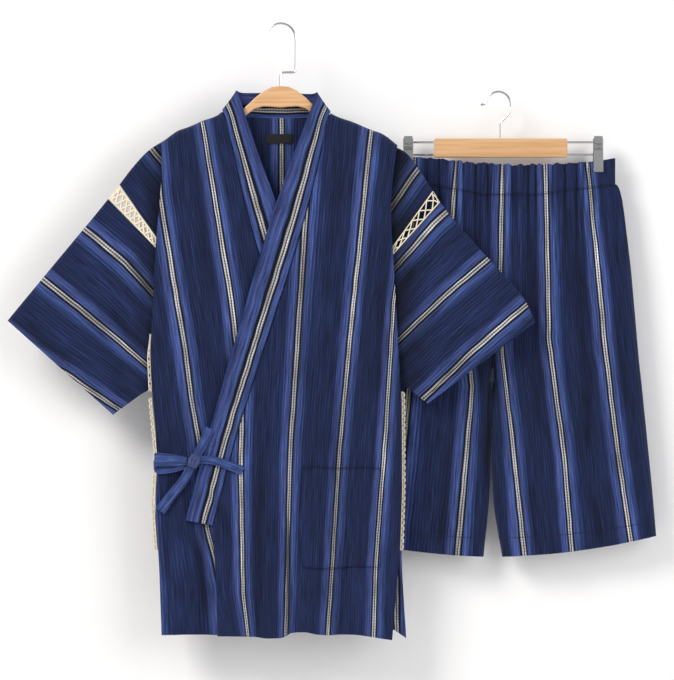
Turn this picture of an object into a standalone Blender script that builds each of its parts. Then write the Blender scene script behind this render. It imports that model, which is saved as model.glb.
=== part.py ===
"""A jinbei set: a striped wrap jacket on a wooden coat hanger, and its shorts on a clip hanger.

Metres, +Z up, the wearer's front towards -Y. The origin is the crown of the coat hanger's hook,
so everything hangs below it. Each piece that a maker cuts and sews is a thin wall of its own: a
flat grid is laid on the piece's form and given its thickness. "Left" and "right" are the sides
seen from the front.
"""
import math

import bmesh
import bpy
from mathutils import Vector

# ---------------------------------------------------------------- driving dimensions
CLOTH = 0.0016              # one layer of ribbed cotton
BAND = 0.0030               # collar band and waistband: cloth folded double
TAPE = 0.0020               # the ties, folded and stitched flat
LACE = 0.0012
LABEL = 0.0008
SEAM = 0.0004               # clear space between two pieces that are sewn together
HALF_SEAM = (CLOTH + SEAM) / 2
SHOULDER_ROLL = 0.010       # the cloth rolls over the hanger's arm within this height
FRONT_SIDE_DEPTH = 0.0115   # how far the jacket's front hangs before the hanger's plane, at its sides
FRONT_DEPTH = 0.0195        # and at its middle
BACK_SIDE_DEPTH = 0.0090
BACK_DEPTH = 0.0125
LAYER = 0.0030              # each wrapped front lies this far from the surface they share
WRAP_TOP = -0.150           # the two fronts part company between these heights
WRAP_FULL = -0.235
ARM_PLANE = -0.0012         # middle of the flattened sleeves
SHORTS_PLANE = 0.047        # the shorts hang behind the jacket
WAIST_PINCH = 0.0030        # half depth of the waist where the clips close on it
WAIST_DEPTH = 0.0110        # half depth of the waist at its middle
LEG_ROUND = 0.022           # how far the fold at a trouser leg's side reaches across it
BAR_CENTRE = 0.329          # the clip hanger's middle
WIRE_RADIUS = 0.0016

INDIGO = (0.028, 0.038, 0.105)
BRIGHT_INDIGO = (0.055, 0.080, 0.210)
CREAM = (0.72, 0.68, 0.56)
BLACK = (0.012, 0.012, 0.014)
BEECH = (0.72, 0.43, 0.19)
STEEL = (0.62, 0.62, 0.61)

# ---------------------------------------------------------------- outlines, as x and z
LEFT_SIDE = ((-0.1760, -0.1725), (-0.1775, -0.249), (-0.1840, -0.318), (-0.1890, -0.411),
             (-0.1925, -0.490), (-0.1890, -0.565), (-0.1815, -0.640), (-0.1856, -0.715),
             (-0.1810, -0.783), (-0.1760, -0.909))
RIGHT_SIDE = ((0.1725, -0.1770), (0.1635, -0.279), (0.1665, -0.340), (0.1735, -0.468),
              (0.1785, -0.561), (0.1790, -0.690), (0.1765, -0.775), (0.1650, -0.9165))
LEFT_SHOULDER = ((-0.0850, -0.1340), (-0.0910, -0.1378), (-0.1170, -0.1480), (-0.1335, -0.1555),
                 (-0.1610, -0.1650), (-0.1760, -0.1725))
RIGHT_SHOULDER = ((0.0735, -0.1362), (0.0825, -0.1405), (0.1065, -0.1490), (0.1335, -0.1605),
                  (0.1635, -0.1710), (0.1725, -0.1770))
BACK_NECK = ((-0.0850, -0.1340), (-0.0660, -0.1428), (-0.0350, -0.1436), (-0.0050, -0.1438),
             (0.0300, -0.1436), (0.0550, -0.1432), (0.0735, -0.1362))
BACK_LEFT_SIDE = ((-0.1760, -0.1725), (-0.1775, -0.249), (-0.1840, -0.318), (-0.1890, -0.411),
                  (-0.1925, -0.490), (-0.1895, -0.565), (-0.1840, -0.640), (-0.1862, -0.715),
                  (-0.1800, -0.783), (-0.1740, -0.900))
BACK_RIGHT_SIDE = ((0.1725, -0.1770), (0.1635, -0.279), (0.1665, -0.340), (0.1735, -0.468),
                   (0.1785, -0.561), (0.1805, -0.690), (0.1800, -0.790), (0.1870, -0.915))
OVER_HEM = ((-0.0930, -0.9100), (-0.0450, -0.9105), (0.0060, -0.9110), (0.0170, -0.9055),
            (0.0660, -0.9085), (0.1050, -0.9075), (0.1650, -0.9165))
UNDER_HEM = ((-0.1760, -0.9090), (-0.1300, -0.9080), (-0.0880, -0.9085), (0.0000, -0.9035),
             (0.0860, -0.9030))
BACK_HEM = ((-0.1740, -0.9000), (-0.0900, -0.9010), (0.0000, -0.9000), (0.0900, -0.8990),
            (0.1600, -0.8985), (0.1870, -0.9150))

# ---------------------------------------------------------------- the collar band, end to end
# the band's free edge and its seam edge at each station, from the hidden under end, round the neck
# and down to the tied end. The depth y is given only round the neck; where it is None the band
# lies with the front that it is sewn to.
COLLAR = (
    # free x,   y,      z,       seam x,  y,      z
    (0.1270, None, -0.7380, 0.0870, None, -0.7455),
    (0.0870, None, -0.5910, 0.0440, None, -0.5850),
    (0.0115, None, -0.3210, -0.0375, None, -0.3210),
    (-0.0355, None, -0.1860, -0.0697, None, -0.1900),
    (-0.0540, -0.0085, -0.1300, -0.0790, -0.0098, -0.1480),
    (-0.0618, -0.0010, -0.1040, -0.0828, -0.0004, -0.1310),
    (-0.0540, 0.0085, -0.1035, -0.0660, 0.0098, -0.1390),
    (-0.0050, 0.0125, -0.1030, -0.0050, 0.0132, -0.1426),
    (0.0430, 0.0085, -0.1050, 0.0550, 0.0098, -0.1398),
    (0.0506, -0.0010, -0.1065, 0.0708, -0.0004, -0.1334),
    (0.0440, -0.0085, -0.1300, 0.0668, -0.0098, -0.1500),
    (0.0233, None, -0.1860, 0.0597, None, -0.1900),
    (-0.0230, None, -0.3210, 0.0268, None, -0.3210),
    (-0.1010, None, -0.5910, -0.0570, None, -0.5850),
    (-0.1410, None, -0.7380, -0.1005, None, -0.7455),
)
COLLAR_NECK = (5, 9)        # stations where the band turns over the shoulders

# ---------------------------------------------------------------- soft folds of the jacket
# each is a ridge of the hanging cloth: x at its top and at the hem, where it starts, how wide it
# is either side of its line and how far it stands forward (a trough is negative)
FRONT_FOLDS = (
    # x top, x hem,  z top, half width, forward
    (-0.140, -0.150, -0.240, 0.022, 0.0022),
    (-0.085, -0.115, -0.300, 0.020, -0.0020),
    (-0.060, -0.060, -0.480, 0.018, 0.0024),
    (-0.010, -0.022, -0.420, 0.016, 0.0030),
    (0.012, 0.016, -0.600, 0.012, -0.0030),
    (0.060, 0.050, -0.240, 0.020, 0.0022),
    (0.100, 0.090, -0.220, 0.016, -0.0024),
    (0.135, 0.135, -0.210, 0.018, 0.0022),
)
BACK_FOLDS = (
    (-0.120, -0.135, -0.260, 0.022, 0.0030),
    (-0.060, -0.075, -0.340, 0.020, -0.0022),
    (-0.010, 0.000, -0.240, 0.022, 0.0026),
    (0.055, 0.060, -0.300, 0.020, -0.0024),
    (0.115, 0.130, -0.240, 0.022, 0.0030),
)

# ---------------------------------------------------------------- sleeves
# Each arm is one flattened tube, folded along its top. A station gives a point on the top fold,
# the point straight across the cloth from it, and half the depth there. The first stations are
# the outer part of the body cloth, which falls off the hanger's end; then the lace; then the sleeve.
ARM_LEFT = (
    # top x,   z,       low x,   z,      half depth
    (-0.1715, -0.1785, -0.1680, -0.3180, 0.0042),
    (-0.1935, -0.1882, -0.1690, -0.3225, 0.0044),
    (-0.2180, -0.2135, -0.1715, -0.3280, 0.0046),
    (-0.2390, -0.2407, -0.1745, -0.3330, 0.0050),
    (-0.2555, -0.2617, -0.1745, -0.3450, 0.0050),
    (-0.3060, -0.3230, -0.1745, -0.4350, 0.0062),
    (-0.3580, -0.3856, -0.1760, -0.5270, 0.0072),
    (-0.3830, -0.4158, -0.2120, -0.5550, 0.0072),
    (-0.4050, -0.4425, -0.2490, -0.5820, 0.0068),
)
ARM_RIGHT = (
    (0.1670, -0.1830, 0.1510, -0.3350, 0.0042),
    (0.1850, -0.1925, 0.1515, -0.3410, 0.0044),
    (0.2065, -0.2200, 0.1520, -0.3470, 0.0046),
    (0.2257, -0.2490, 0.1520, -0.3525, 0.0050),
    (0.2377, -0.2670, 0.1520, -0.3612, 0.0050),
    (0.2880, -0.3275, 0.1520, -0.4450, 0.0062),
    (0.3360, -0.3805, 0.1550, -0.5165, 0.0072),
    (0.3640, -0.4140, 0.1890, -0.5420, 0.0072),
    (0.3780, -0.4450, 0.2190, -0.5655, 0.0068),
)
LACE_START, LACE_END, UNDERARM, CUFF = 3, 4, 6, 8

# ---------------------------------------------------------------- shorts
WAIST_TOP = ((0.1755, -0.1945), (0.2400, -0.2010), (0.2820, -0.2060), (0.3555, -0.2100),
             (0.4374, -0.2070), (0.4785, -0.2025), (0.4990, -0.1990))
WAIST_SEAM = ((0.1755, -0.2350), (0.2190, -0.2385), (0.2650, -0.2460), (0.3015, -0.2535),
              (0.3885, -0.2535), (0.4215, -0.2475), (0.4990, -0.2395))
# the inner and the outer edge of each leg, level by level, half its depth, how far its inner side
# is closed (0 above the crotch, 1 below), and how far its inner edge keeps from the other leg's
LEG_RIGHT = (
    # inner x, z,       outer x, z,       depth, closed, apart
    (0.3360, -0.2545, 0.4990, -0.2405, 0.0110, 0.0, 0.0002),
    (0.3340, -0.2900, 0.5105, -0.2780, 0.0125, 0.0, 0.0002),
    (0.3300, -0.3500, 0.5205, -0.3420, 0.0145, 0.0, 0.0002),
    (0.3240, -0.4300, 0.5285, -0.4250, 0.0160, 0.0, 0.0002),
    (0.3180, -0.5100, 0.5355, -0.5050, 0.0165, 0.0, 0.0010),
    (0.3155, -0.5500, 0.5400, -0.5450, 0.0165, 1.0, 0.0014),
    (0.3150, -0.6300, 0.5475, -0.6200, 0.0165, 1.0, 0.0014),
    (0.3165, -0.7050, 0.5545, -0.6900, 0.0165, 1.0, 0.0020),
    (0.3300, -0.7950, 0.5610, -0.7640, 0.0160, 1.0, 0.0020),
)
LEG_LEFT = (
    (0.3360, -0.2545, 0.1755, -0.2365, 0.0110, 0.0, 0.0002),
    (0.3340, -0.2900, 0.1620, -0.2780, 0.0125, 0.0, 0.0002),
    (0.3300, -0.3500, 0.1500, -0.3420, 0.0145, 0.0, 0.0002),
    (0.3240, -0.4300, 0.1380, -0.4250, 0.0160, 0.0, 0.0002),
    (0.3180, -0.5100, 0.1270, -0.5050, 0.0165, 0.0, 0.0010),
    (0.3155, -0.5500, 0.1210, -0.5450, 0.0165, 1.0, 0.0014),
    (0.3150, -0.6300, 0.1090, -0.6200, 0.0165, 1.0, 0.0014),
    (0.3130, -0.7050, 0.0975, -0.6900, 0.0165, 1.0, 0.0020),
    (0.3045, -0.7950, 0.0820, -0.7640, 0.0160, 1.0, 0.0020),
)
LEG_FOLDS = (
    # x waist, x hem,  z top, half width, forward
    (0.220, 0.190, -0.260, 0.018, 0.0030),
    (0.280, 0.262, -0.250, 0.016, 0.0034),
    (0.372, 0.400, -0.250, 0.016, 0.0036),
    (0.412, 0.448, -0.260, 0.014, -0.0026),
    (0.450, 0.500, -0.250, 0.018, 0.0034),
)
HEM_SAG = 0.006             # a leg's hem hangs lower between its two edges


# ---------------------------------------------------------------- small tools
def ease(value):
    """0 below 0, 1 above 1, and a soft step between."""
    value = min(max(value, 0.0), 1.0)
    return value * value * (3 - 2 * value)


def path(points):
    """A smooth curve through the points, read from 0 at its start to 1 at its end."""
    points = [Vector(point) for point in points]
    steps = [(b - a).length for a, b in zip(points, points[1:])]
    slopes = [(b - a) / step for a, b, step in zip(points, points[1:], steps)]
    tangents = [slopes[0]]
    for k in range(1, len(slopes)):
        reach = steps[k - 1] + steps[k]
        tangents.append((slopes[k - 1] * steps[k] + slopes[k] * steps[k - 1]) / reach)
    tangents.append(slopes[-1])

    def read(t):
        along = min(max(t, 0.0), 1.0) * sum(steps)
        k = 0
        while k < len(steps) - 1 and along > steps[k]:
            along -= steps[k]
            k += 1
        s = along / steps[k]
        start = points[k] * (2 * s ** 3 - 3 * s ** 2 + 1) + points[k + 1] * (3 * s ** 2 - 2 * s ** 3)
        turn = tangents[k] * (s ** 3 - 2 * s ** 2 + s) + tangents[k + 1] * (s ** 3 - s ** 2)
        return start + turn * steps[k]
    return read


def by_station(points):
    """A smooth curve that passes its points at equal steps between 0 and 1."""
    points = [Vector(point) for point in points]
    last = len(points) - 1

    def read(t):
        k = min(int(t * last), last - 1)
        s = t * last - k
        before = points[max(k - 1, 0)]
        a, b = points[k], points[k + 1]
        after = points[min(k + 2, last)]
        lead = (b - before) / 2 if k > 0 else b - a
        tail = (after - a) / 2 if k + 1 < last else b - a
        return (a * (2 * s ** 3 - 3 * s ** 2 + 1) + b * (3 * s ** 2 - 2 * s ** 3)
                + lead * (s ** 3 - 2 * s ** 2 + s) + tail * (s ** 3 - s ** 2))
    return read


def level(points, at, by=0):
    """The other coordinate of an outline at a given x (by=0) or z (by=1), straight between points."""
    ordered = sorted(points, key=lambda point: point[by])
    at = min(max(at, ordered[0][by]), ordered[-1][by])
    for a, b in zip(ordered, ordered[1:]):
        if at <= b[by]:
            part = (at - a[by]) / (b[by] - a[by])
            return a[1 - by] + (b[1 - by] - a[1 - by]) * part
    return ordered[-1][1 - by]


def station(table, at):
    """A row of a table read between its rows."""
    k = min(int(at), len(table) - 2)
    part = at - k
    return [a + (b - a) * part for a, b in zip(table[k], table[k + 1])]


def patch(top, bottom, left, right):
    """A flat piece filled in from its four edges, each read from 0 to 1."""
    def place(u, v):
        across = left(v) * (1 - u) + right(v) * u
        down = top(u) * (1 - v) + bottom(u) * v
        above = left(0) * (1 - u) + right(0) * u
        below = left(1) * (1 - u) + right(1) * u
        return across + down - above * (1 - v) - below * v
    return place


def material(name, colour, roughness, metallic=0.0):
    made = bpy.data.materials.new(name)
    made.use_nodes = True
    shader = made.node_tree.nodes["Principled BSDF"]
    shader.inputs["Base Color"].default_value = (*colour, 1.0)
    shader.inputs["Roughness"].default_value = roughness
    shader.inputs["Metallic"].default_value = metallic
    return made


def keep(obj, finish):
    """File a finished piece in the set's collection."""
    for home in list(obj.users_collection):
        home.objects.unlink(obj)
    bpy.data.collections["jinbei_set"].objects.link(obj)
    obj.data.materials.clear()
    obj.data.materials.append(finish)
    return obj


def grid(name, rows_of_points):
    """An object with one point for each place in the rows, joined up as a grid."""
    rows = len(rows_of_points) - 1
    columns = len(rows_of_points[0]) - 1
    build = bmesh.new()
    bmesh.ops.create_grid(build, x_segments=columns, y_segments=rows, size=0.5)
    for point in build.verts:
        column = round((point.co.x + 0.5) * columns)
        row = round((0.5 - point.co.y) * rows)
        point.co = rows_of_points[row][column]
    mesh = bpy.data.meshes.new(name)
    build.to_mesh(mesh)
    build.free()
    for face in mesh.polygons:
        face.use_smooth = True
    obj = bpy.data.objects.new(name, mesh)
    bpy.context.scene.collection.objects.link(obj)
    return obj


def wall(obj, thickness):
    """The grid's points stay in the middle of the wall."""
    thicken = obj.modifiers.new("wall", "SOLIDIFY")
    thicken.thickness = thickness
    thicken.offset = 0.0
    return obj


def cloth(name, rows_of_points, thickness, finish):
    return keep(wall(grid(name, rows_of_points), thickness), finish)


def ridges(folds, x, z, hem):
    """How far the folds stand forward at a point, growing from nothing at each fold's top."""
    forward = 0.0
    for x_top, x_hem, z_top, half_width, height in folds:
        down = (z_top - z) / (z_top - hem)
        line = x_top + (x_hem - x_top) * max(down, 0.0)
        forward += height * ease(down * 3) * math.exp(-((x - line) / half_width) ** 2)
    return forward


# ---------------------------------------------------------------- how the jacket hangs
JACKET_HEM = -0.910
NECK_TURN = 0.0140          # within this of the neck points the back comes forward to the shoulders


def fullness(x, z, left, right, side_depth, depth):
    """Distance of the hanging body cloth from the hanger's plane, without its folds."""
    x_left = level(left, z, by=1)
    x_right = level(right, z, by=1)
    across = (2 * x - x_left - x_right) / (x_right - x_left)
    across = min(abs(across), 1.0)
    grown = ease((-0.140 - z) / 0.17)
    return side_depth + (depth - side_depth) * grown * (1 - across ** 4)


def roll(x, z):
    """0 on the shoulder seam, 1 where the cloth has come down over the hanger's arm."""
    shoulder = LEFT_SHOULDER if x < 0 else RIGHT_SHOULDER
    down = (level(shoulder, x) - z) / SHOULDER_ROLL
    down = min(max(down, 0.0), 1.0)
    return math.sqrt(1 - (1 - down) ** 2)


def front_y(x, z, layer):
    """Depth of a front: layer is -1 for the one on top, +1 for the one beneath."""
    depth = fullness(x, z, LEFT_SIDE, RIGHT_SIDE, FRONT_SIDE_DEPTH, FRONT_DEPTH)
    inward = (depth - FRONT_SIDE_DEPTH) / (FRONT_DEPTH - FRONT_SIDE_DEPTH)
    depth += ridges(FRONT_FOLDS, x, z, JACKET_HEM) * ease(inward * 3)
    depth = max(depth * roll(x, z), HALF_SEAM)
    wrapped = ease((WRAP_TOP - z) / (WRAP_TOP - WRAP_FULL)) * ease(inward * 2)
    return -depth + layer * LAYER * wrapped


def back_y(x, z):
    depth = fullness(x, z, BACK_LEFT_SIDE, BACK_RIGHT_SIDE, BACK_SIDE_DEPTH, BACK_DEPTH)
    depth += ridges(BACK_FOLDS, x, z, JACKET_HEM)
    in_neck = LEFT_SHOULDER[0][0] < x < RIGHT_SHOULDER[0][0]
    if in_neck:
        edge = min(x - LEFT_SHOULDER[0][0], RIGHT_SHOULDER[0][0] - x)
        return max(depth * max(roll(x, z), ease(edge / NECK_TURN)), HALF_SEAM)
    return max(depth * roll(x, z), HALF_SEAM)


def collar_edges():
    """Fill in the depths that the band takes from its fronts, and make its two edges curves."""
    free, seam = [], []
    for k, (free_x, free_y, free_z, seam_x, seam_y, seam_z) in enumerate(COLLAR):
        layer = 1 if k < COLLAR_NECK[0] else -1
        if free_y is None:
            free_y = front_y(free_x, free_z, layer)
            seam_y = front_y(seam_x, seam_z, layer)
        free.append((free_x, free_y, free_z))
        seam.append((seam_x, seam_y, seam_z))
    return by_station(free), by_station(seam)


COLLAR_FREE, COLLAR_SEAM = collar_edges()


def collar_depth(at, point):
    """Along the fronts the band follows their folds; round the neck it keeps its own curve."""
    first, last = COLLAR_NECK
    if at <= first - 2:
        return front_y(point.x, point.z, 1)
    if at >= last + 2:
        return front_y(point.x, point.z, -1)
    return point.y


# ---------------------------------------------------------------- jacket pieces
def front_rows(layer, columns, rows):
    """The points of one front: its seam to the collar, then the hem, the side and the shoulder."""
    over = layer < 0
    last = len(COLLAR) - 1
    start = COLLAR_NECK[1] if over else COLLAR_NECK[0]
    end = last if over else 0
    seam = [COLLAR_SEAM((start + (end - start) * k / 12) / last).xz for k in range(13)]
    side = 1 if over else -1
    for k, point in enumerate(seam):
        at_neck = 1 - ease(k / 2)
        point += Vector((side * (SEAM + 0.0006 + 0.0018 * at_neck), -0.0004 - 0.0020 * at_neck))
    low = [Vector((-0.0955, -0.8085)), Vector(OVER_HEM[0])] if over else [
        Vector((0.0865, -0.8085)), Vector(UNDER_HEM[-1])]
    band_ends = path_share(seam + low, len(seam) - 1)
    if over:
        left = path(seam + low)
        right = path(RIGHT_SIDE)
        top = path([seam[0]] + list(RIGHT_SHOULDER[1:]))
        bottom = path(OVER_HEM)
    else:
        left = path(LEFT_SIDE)
        right = path(seam + low)
        top = path(list(reversed(LEFT_SHOULDER[1:])) + [seam[0]])
        bottom = path(UNDER_HEM)
    place = patch(top, bottom, left, right)
    made = []
    for row in with_line_at(spaced_rows(rows), band_ends):
        line = []
        for column in range(columns + 1):
            spot = place(column / columns, row)
            line.append(Vector((spot.x, front_y(spot.x, spot.y, layer), spot.y)))
        made.append(line)
    return made


def path_share(points, index):
    """How far along a path, from 0 to 1, one of its points lies."""
    steps = [(Vector(b) - Vector(a)).length for a, b in zip(points, points[1:])]
    return sum(steps[:index]) / sum(steps)


def with_line_at(lines, wanted):
    """The same lines with the nearest one moved to where a line is wanted."""
    nearest = min(range(len(lines)), key=lambda k: abs(lines[k] - wanted))
    return lines[:nearest] + [wanted] + lines[nearest + 1:]


def spaced_rows(rows):
    """Rows from the shoulder to the hem: three close ones over the roll, then even ones."""
    close = [0.0, 0.004, 0.013]
    even = rows - len(close)
    return close + [0.013 + (1 - 0.013) * k / (even + 1) for k in range(1, even + 2)]


def back_rows(columns, rows):
    top_points = list(reversed(LEFT_SHOULDER))[:-1] + list(BACK_NECK) + list(RIGHT_SHOULDER)[1:]
    top = [Vector(point) for point in top_points]

    def shoulder_line(u):
        x = top[0].x + (top[-1].x - top[0].x) * u
        return Vector((x, level(top_points, x)))

    place = patch(shoulder_line, path(BACK_HEM), path(BACK_LEFT_SIDE), path(BACK_RIGHT_SIDE))
    made = []
    span = top[-1].x - top[0].x
    neck_left = (LEFT_SHOULDER[0][0] - top[0].x) / span
    neck_right = (RIGHT_SHOULDER[0][0] - top[0].x) / span
    lines = [k / columns for k in range(columns + 1)]
    lines = with_line_at(with_line_at(lines, neck_left), neck_right)
    turn = NECK_TURN / span
    lines = with_line_at(with_line_at(lines, neck_left + turn), neck_right - turn)
    for row in spaced_rows(rows):
        line = []
        for column in lines:
            spot = place(column, row)
            line.append(Vector((spot.x, back_y(spot.x, spot.y), spot.y)))
        made.append(line)
    return made


def collar_rows(steps, columns):
    made = []
    for column in range(columns + 1):
        line = []
        for step in range(steps + 1):
            at = (len(COLLAR) - 1) * step / steps
            share = step / steps
            point = COLLAR_FREE(share).lerp(COLLAR_SEAM(share), column / columns)
            line.append(Vector((point.x, collar_depth(at, point), point.z)))
        made.append(line)
    return made


def arm_rows(table, first, last, rows, flat=6, bend=4):
    """A stretch of a flattened arm. Each row runs from the front's low edge over the top fold."""
    made = []
    for k in range(rows + 1):
        at = first + (last - first) * k / rows
        top_x, top_z, low_x, low_z, depth = station(table, at)
        top, low = Vector((top_x, top_z)), Vector((low_x, low_z))
        width = (low - top).length
        along = (low - top) / width
        onward = Vector((along.y, -along.x)) * (1 if top_x > 0 else -1)
        if k == 0 and first > 0:
            top, low = top - onward * SEAM, low - onward * SEAM
        if k == rows and last < CUFF:
            top, low = top + onward * SEAM, low + onward * SEAM
        closed = ease(at - UNDERARM + 1) if at > UNDERARM - 1 else 0.0
        line = []
        for side in (-1, 1):
            for step in range(flat):
                part = step / flat if side < 0 else (step + 1) / flat
                down = width + (depth - width) * part if side < 0 else depth + (width - depth) * part
                narrow = ease((down / width - 0.55) / 0.45) * closed
                reach = depth + (HALF_SEAM - depth) * narrow
                spot = top + along * down
                line.append(Vector((spot.x, ARM_PLANE + side * reach, spot.y)))
            if side < 0:
                for step in range(bend + 1):
                    angle = math.pi * step / bend
                    spot = top + along * depth * (1 - math.sin(angle))
                    line.append(Vector((spot.x, ARM_PLANE - depth * math.cos(angle), spot.y)))
        made.append(line)
    return made


def side_lace_rows(side, z_top, z_low, rows=8):
    """The lace let in between a front's side and the back's, bowed outwards."""
    front = LEFT_SIDE if side < 0 else RIGHT_SIDE
    back = BACK_LEFT_SIDE if side < 0 else BACK_RIGHT_SIDE
    made = []
    for k in range(rows + 1):
        z = z_top + (z_low - z_top) * k / rows
        x_front = level(front, z, by=1) + side * 0.0016
        x_back = level(back, z, by=1) + side * 0.0016
        made.append([Vector((x_front, -FRONT_SIDE_DEPTH + LACE / 2, z)),
                     Vector((x_front + side * 0.0050, -0.0052, z)),
                     Vector((x_front + side * 0.0056, 0.0028, z)),
                     Vector((x_back, BACK_SIDE_DEPTH - LACE / 2, z))])
    return made


def armhole_lace_rows(z_top, z_low, rows=4, columns=2):
    """Where the sleeve's lace comes out from under the front's edge, flat before the sleeve."""
    made = []
    for k in range(rows + 1):
        z = z_top + (z_low - z_top) * k / rows
        edge = level(LEFT_SIDE, z, by=1) - SEAM - 0.0006
        width = 0.0015 + 0.0030 * ease(k / rows * 2)
        made.append([Vector((edge - width * (1 - column / columns), -0.0098, z))
                     for column in range(columns + 1)])
    return made


def on_panel(rows_of_points, u, v):
    """A point of a panel's facets, given by column and row numbers that may lie between lines."""
    column = min(int(u), len(rows_of_points[0]) - 2)
    row = min(int(v), len(rows_of_points) - 2)
    a, b = rows_of_points[row][column], rows_of_points[row][column + 1]
    c, d = rows_of_points[row + 1][column], rows_of_points[row + 1][column + 1]
    return (a.lerp(b, u - column)).lerp(c.lerp(d, u - column), v - row)


def laid_on(rows_of_points, corners, columns, rows, lift):
    """Points of a small piece laid on a panel: its corners are column and row numbers there."""
    top_left, top_right, low_left, low_right = [Vector(corner) for corner in corners]
    made = []
    for row in range(rows + 1):
        line = []
        for column in range(columns + 1):
            over = column / columns
            spot = top_left.lerp(top_right, over).lerp(low_left.lerp(low_right, over), row / rows)
            line.append(on_panel(rows_of_points, spot.x, spot.y) + Vector((0, -lift, 0)))
        made.append(line)
    return made


def tape_rows(middle, width, steps=8, columns=2):
    """A flat tape: its middle line as x, y, z points, and its width at the start and the end."""
    line = path(middle)
    made = []
    for column in range(columns + 1):
        row = []
        for step in range(steps + 1):
            t = step / steps
            ahead = line(min(t + 0.02, 1.0)) - line(max(t - 0.02, 0.0))
            side = Vector((-ahead.z, 0, ahead.x)).normalized()
            span = width[0] + (width[1] - width[0]) * t
            row.append(line(t) + side * span * (0.5 - column / columns))
        made.append(row)
    return made


# corners as column and row of the front's and the back's lines: top left and right, low left and right
POCKET = ((5.98, 14.11), (12.27, 13.86), (6.80, 17.70), (12.65, 17.45))
NECK_LABEL = ((7.15, 2.22), (8.95, 2.22), (7.15, 2.50), (8.95, 2.50))


def jacket(finishes):
    cotton, bright, cream, black = finishes
    over = front_rows(-1, columns=14, rows=20)
    under = front_rows(1, columns=12, rows=18)
    back = back_rows(columns=16, rows=17)
    cloth("front_over", over, CLOTH, cotton)
    cloth("front_under", under, CLOTH, cotton)
    cloth("back_panel", back, CLOTH, cotton)
    cloth("collar_band", collar_rows(steps=56, columns=3), BAND, bright)
    cloth("pocket", laid_on(over, POCKET, 12, 8, CLOTH + 0.0008), CLOTH, cotton)
    cloth("neck_label", laid_on(back, NECK_LABEL, 3, 2, CLOTH / 2 + LABEL / 2 + SEAM), LABEL, black)
    for side, table in (("left", ARM_LEFT), ("right", ARM_RIGHT)):
        cloth("shoulder_fall_" + side, arm_rows(table, 0, LACE_START, 6), CLOTH, cotton)
        cloth("sleeve_lace_" + side, arm_rows(table, LACE_START, LACE_END, 2), LACE, cream)
        cloth("sleeve_" + side, arm_rows(table, LACE_END, CUFF, 8), CLOTH, cotton)
    cloth("armhole_lace_left", armhole_lace_rows(-0.462, -0.548), LACE, cream)
    cloth("side_lace_left", side_lace_rows(-1, -0.557, -0.783), LACE, cream)
    cloth("side_lace_right", side_lace_rows(1, -0.548, -0.783), LACE, cream)


# ---------------------------------------------------------------- the bow at the wearer's right
KNOT = Vector((-0.1275, -0.0325, -0.6505))
KNOT_SIZE = (0.0185, 0.0110, 0.0205)
# the middle line of each tape as x, y, z from the knot outwards, then its two widths
TAPES = {
    "tie_strap_collar": (((-0.1210, -0.0268, -0.6375), (-0.1130, -0.0266, -0.6210),
                          (-0.1045, -0.0262, -0.6020)), (0.012, 0.015)),
    "tie_end_right": (((-0.1155, -0.0305, -0.6470), (-0.1000, -0.0305, -0.6490),
                       (-0.0780, -0.0305, -0.6560), (-0.0555, -0.0305, -0.6650)), (0.0105, 0.0140)),
    "tie_end_low": (((-0.1330, -0.0292, -0.6620), (-0.1430, -0.0260, -0.6780),
                     (-0.1620, -0.0226, -0.7020), (-0.1785, -0.0198, -0.7245)), (0.0125, 0.0150)),
    "tie_strap_side": (((-0.1390, -0.0240, -0.6520), (-0.1550, -0.0210, -0.6540),
                        (-0.1750, -0.0160, -0.6565), (-0.1880, -0.0139, -0.6570)), (0.0120, 0.0140)),
}
# the left loop: out in front, round its end and back behind, always before the side strap
LOOP = (
    # x,       y,       z,       width
    (-0.1385, -0.0312, -0.6500, 0.0110),
    (-0.1600, -0.0308, -0.6485, 0.0165),
    (-0.1785, -0.0275, -0.6478, 0.0190),
    (-0.1858, -0.0245, -0.6500, 0.0200),
    (-0.1858, -0.0206, -0.6560, 0.0200),
    (-0.1785, -0.0190, -0.6600, 0.0190),
    (-0.1600, -0.0238, -0.6590, 0.0165),
    (-0.1400, -0.0268, -0.6560, 0.0110),
)


def loop_rows(steps=28, columns=2):
    line = by_station(LOOP)
    made = []
    for column in range(columns + 1):
        row = []
        for step in range(steps + 1):
            x, y, z, width = line(step / steps)
            row.append(Vector((x, y, z + width * (0.5 - column / columns))))
        made.append(row)
    return made


def bow(bright):
    bpy.ops.mesh.primitive_cube_add(size=1, location=KNOT)
    knot = bpy.context.object
    knot.name = "tie_knot"
    knot.scale = (KNOT_SIZE[0] * 1.25, KNOT_SIZE[1] * 1.25, KNOT_SIZE[2] * 1.25)
    bpy.ops.object.transform_apply(location=False, rotation=False, scale=True)
    rounding = knot.modifiers.new("round", "SUBSURF")
    rounding.levels = rounding.render_levels = 2
    keep(knot, bright)
    for name, (middle, width) in TAPES.items():
        cloth(name, tape_rows(middle, width), TAPE, bright)
    cloth("tie_loop_left", loop_rows(), TAPE, bright)


# ---------------------------------------------------------------- shorts pieces
SHORTS_CENTRE = 0.336
SHORTS_HEM = -0.780
FULL_HEIGHT = -0.250        # below this the shorts open from the waist's depth to the legs'
FULL_REACH = 0.100


def waist_depth(x):
    """Half depth of the waist: pinched at its two ends, where the clips are, open between them."""
    left, right = WAIST_TOP[0][0], WAIST_TOP[-1][0]
    inwards = min(x - left, right - x)
    return WAIST_PINCH + (WAIST_DEPTH - WAIST_PINCH) * ease((inwards - 0.028) / 0.075)


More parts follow.
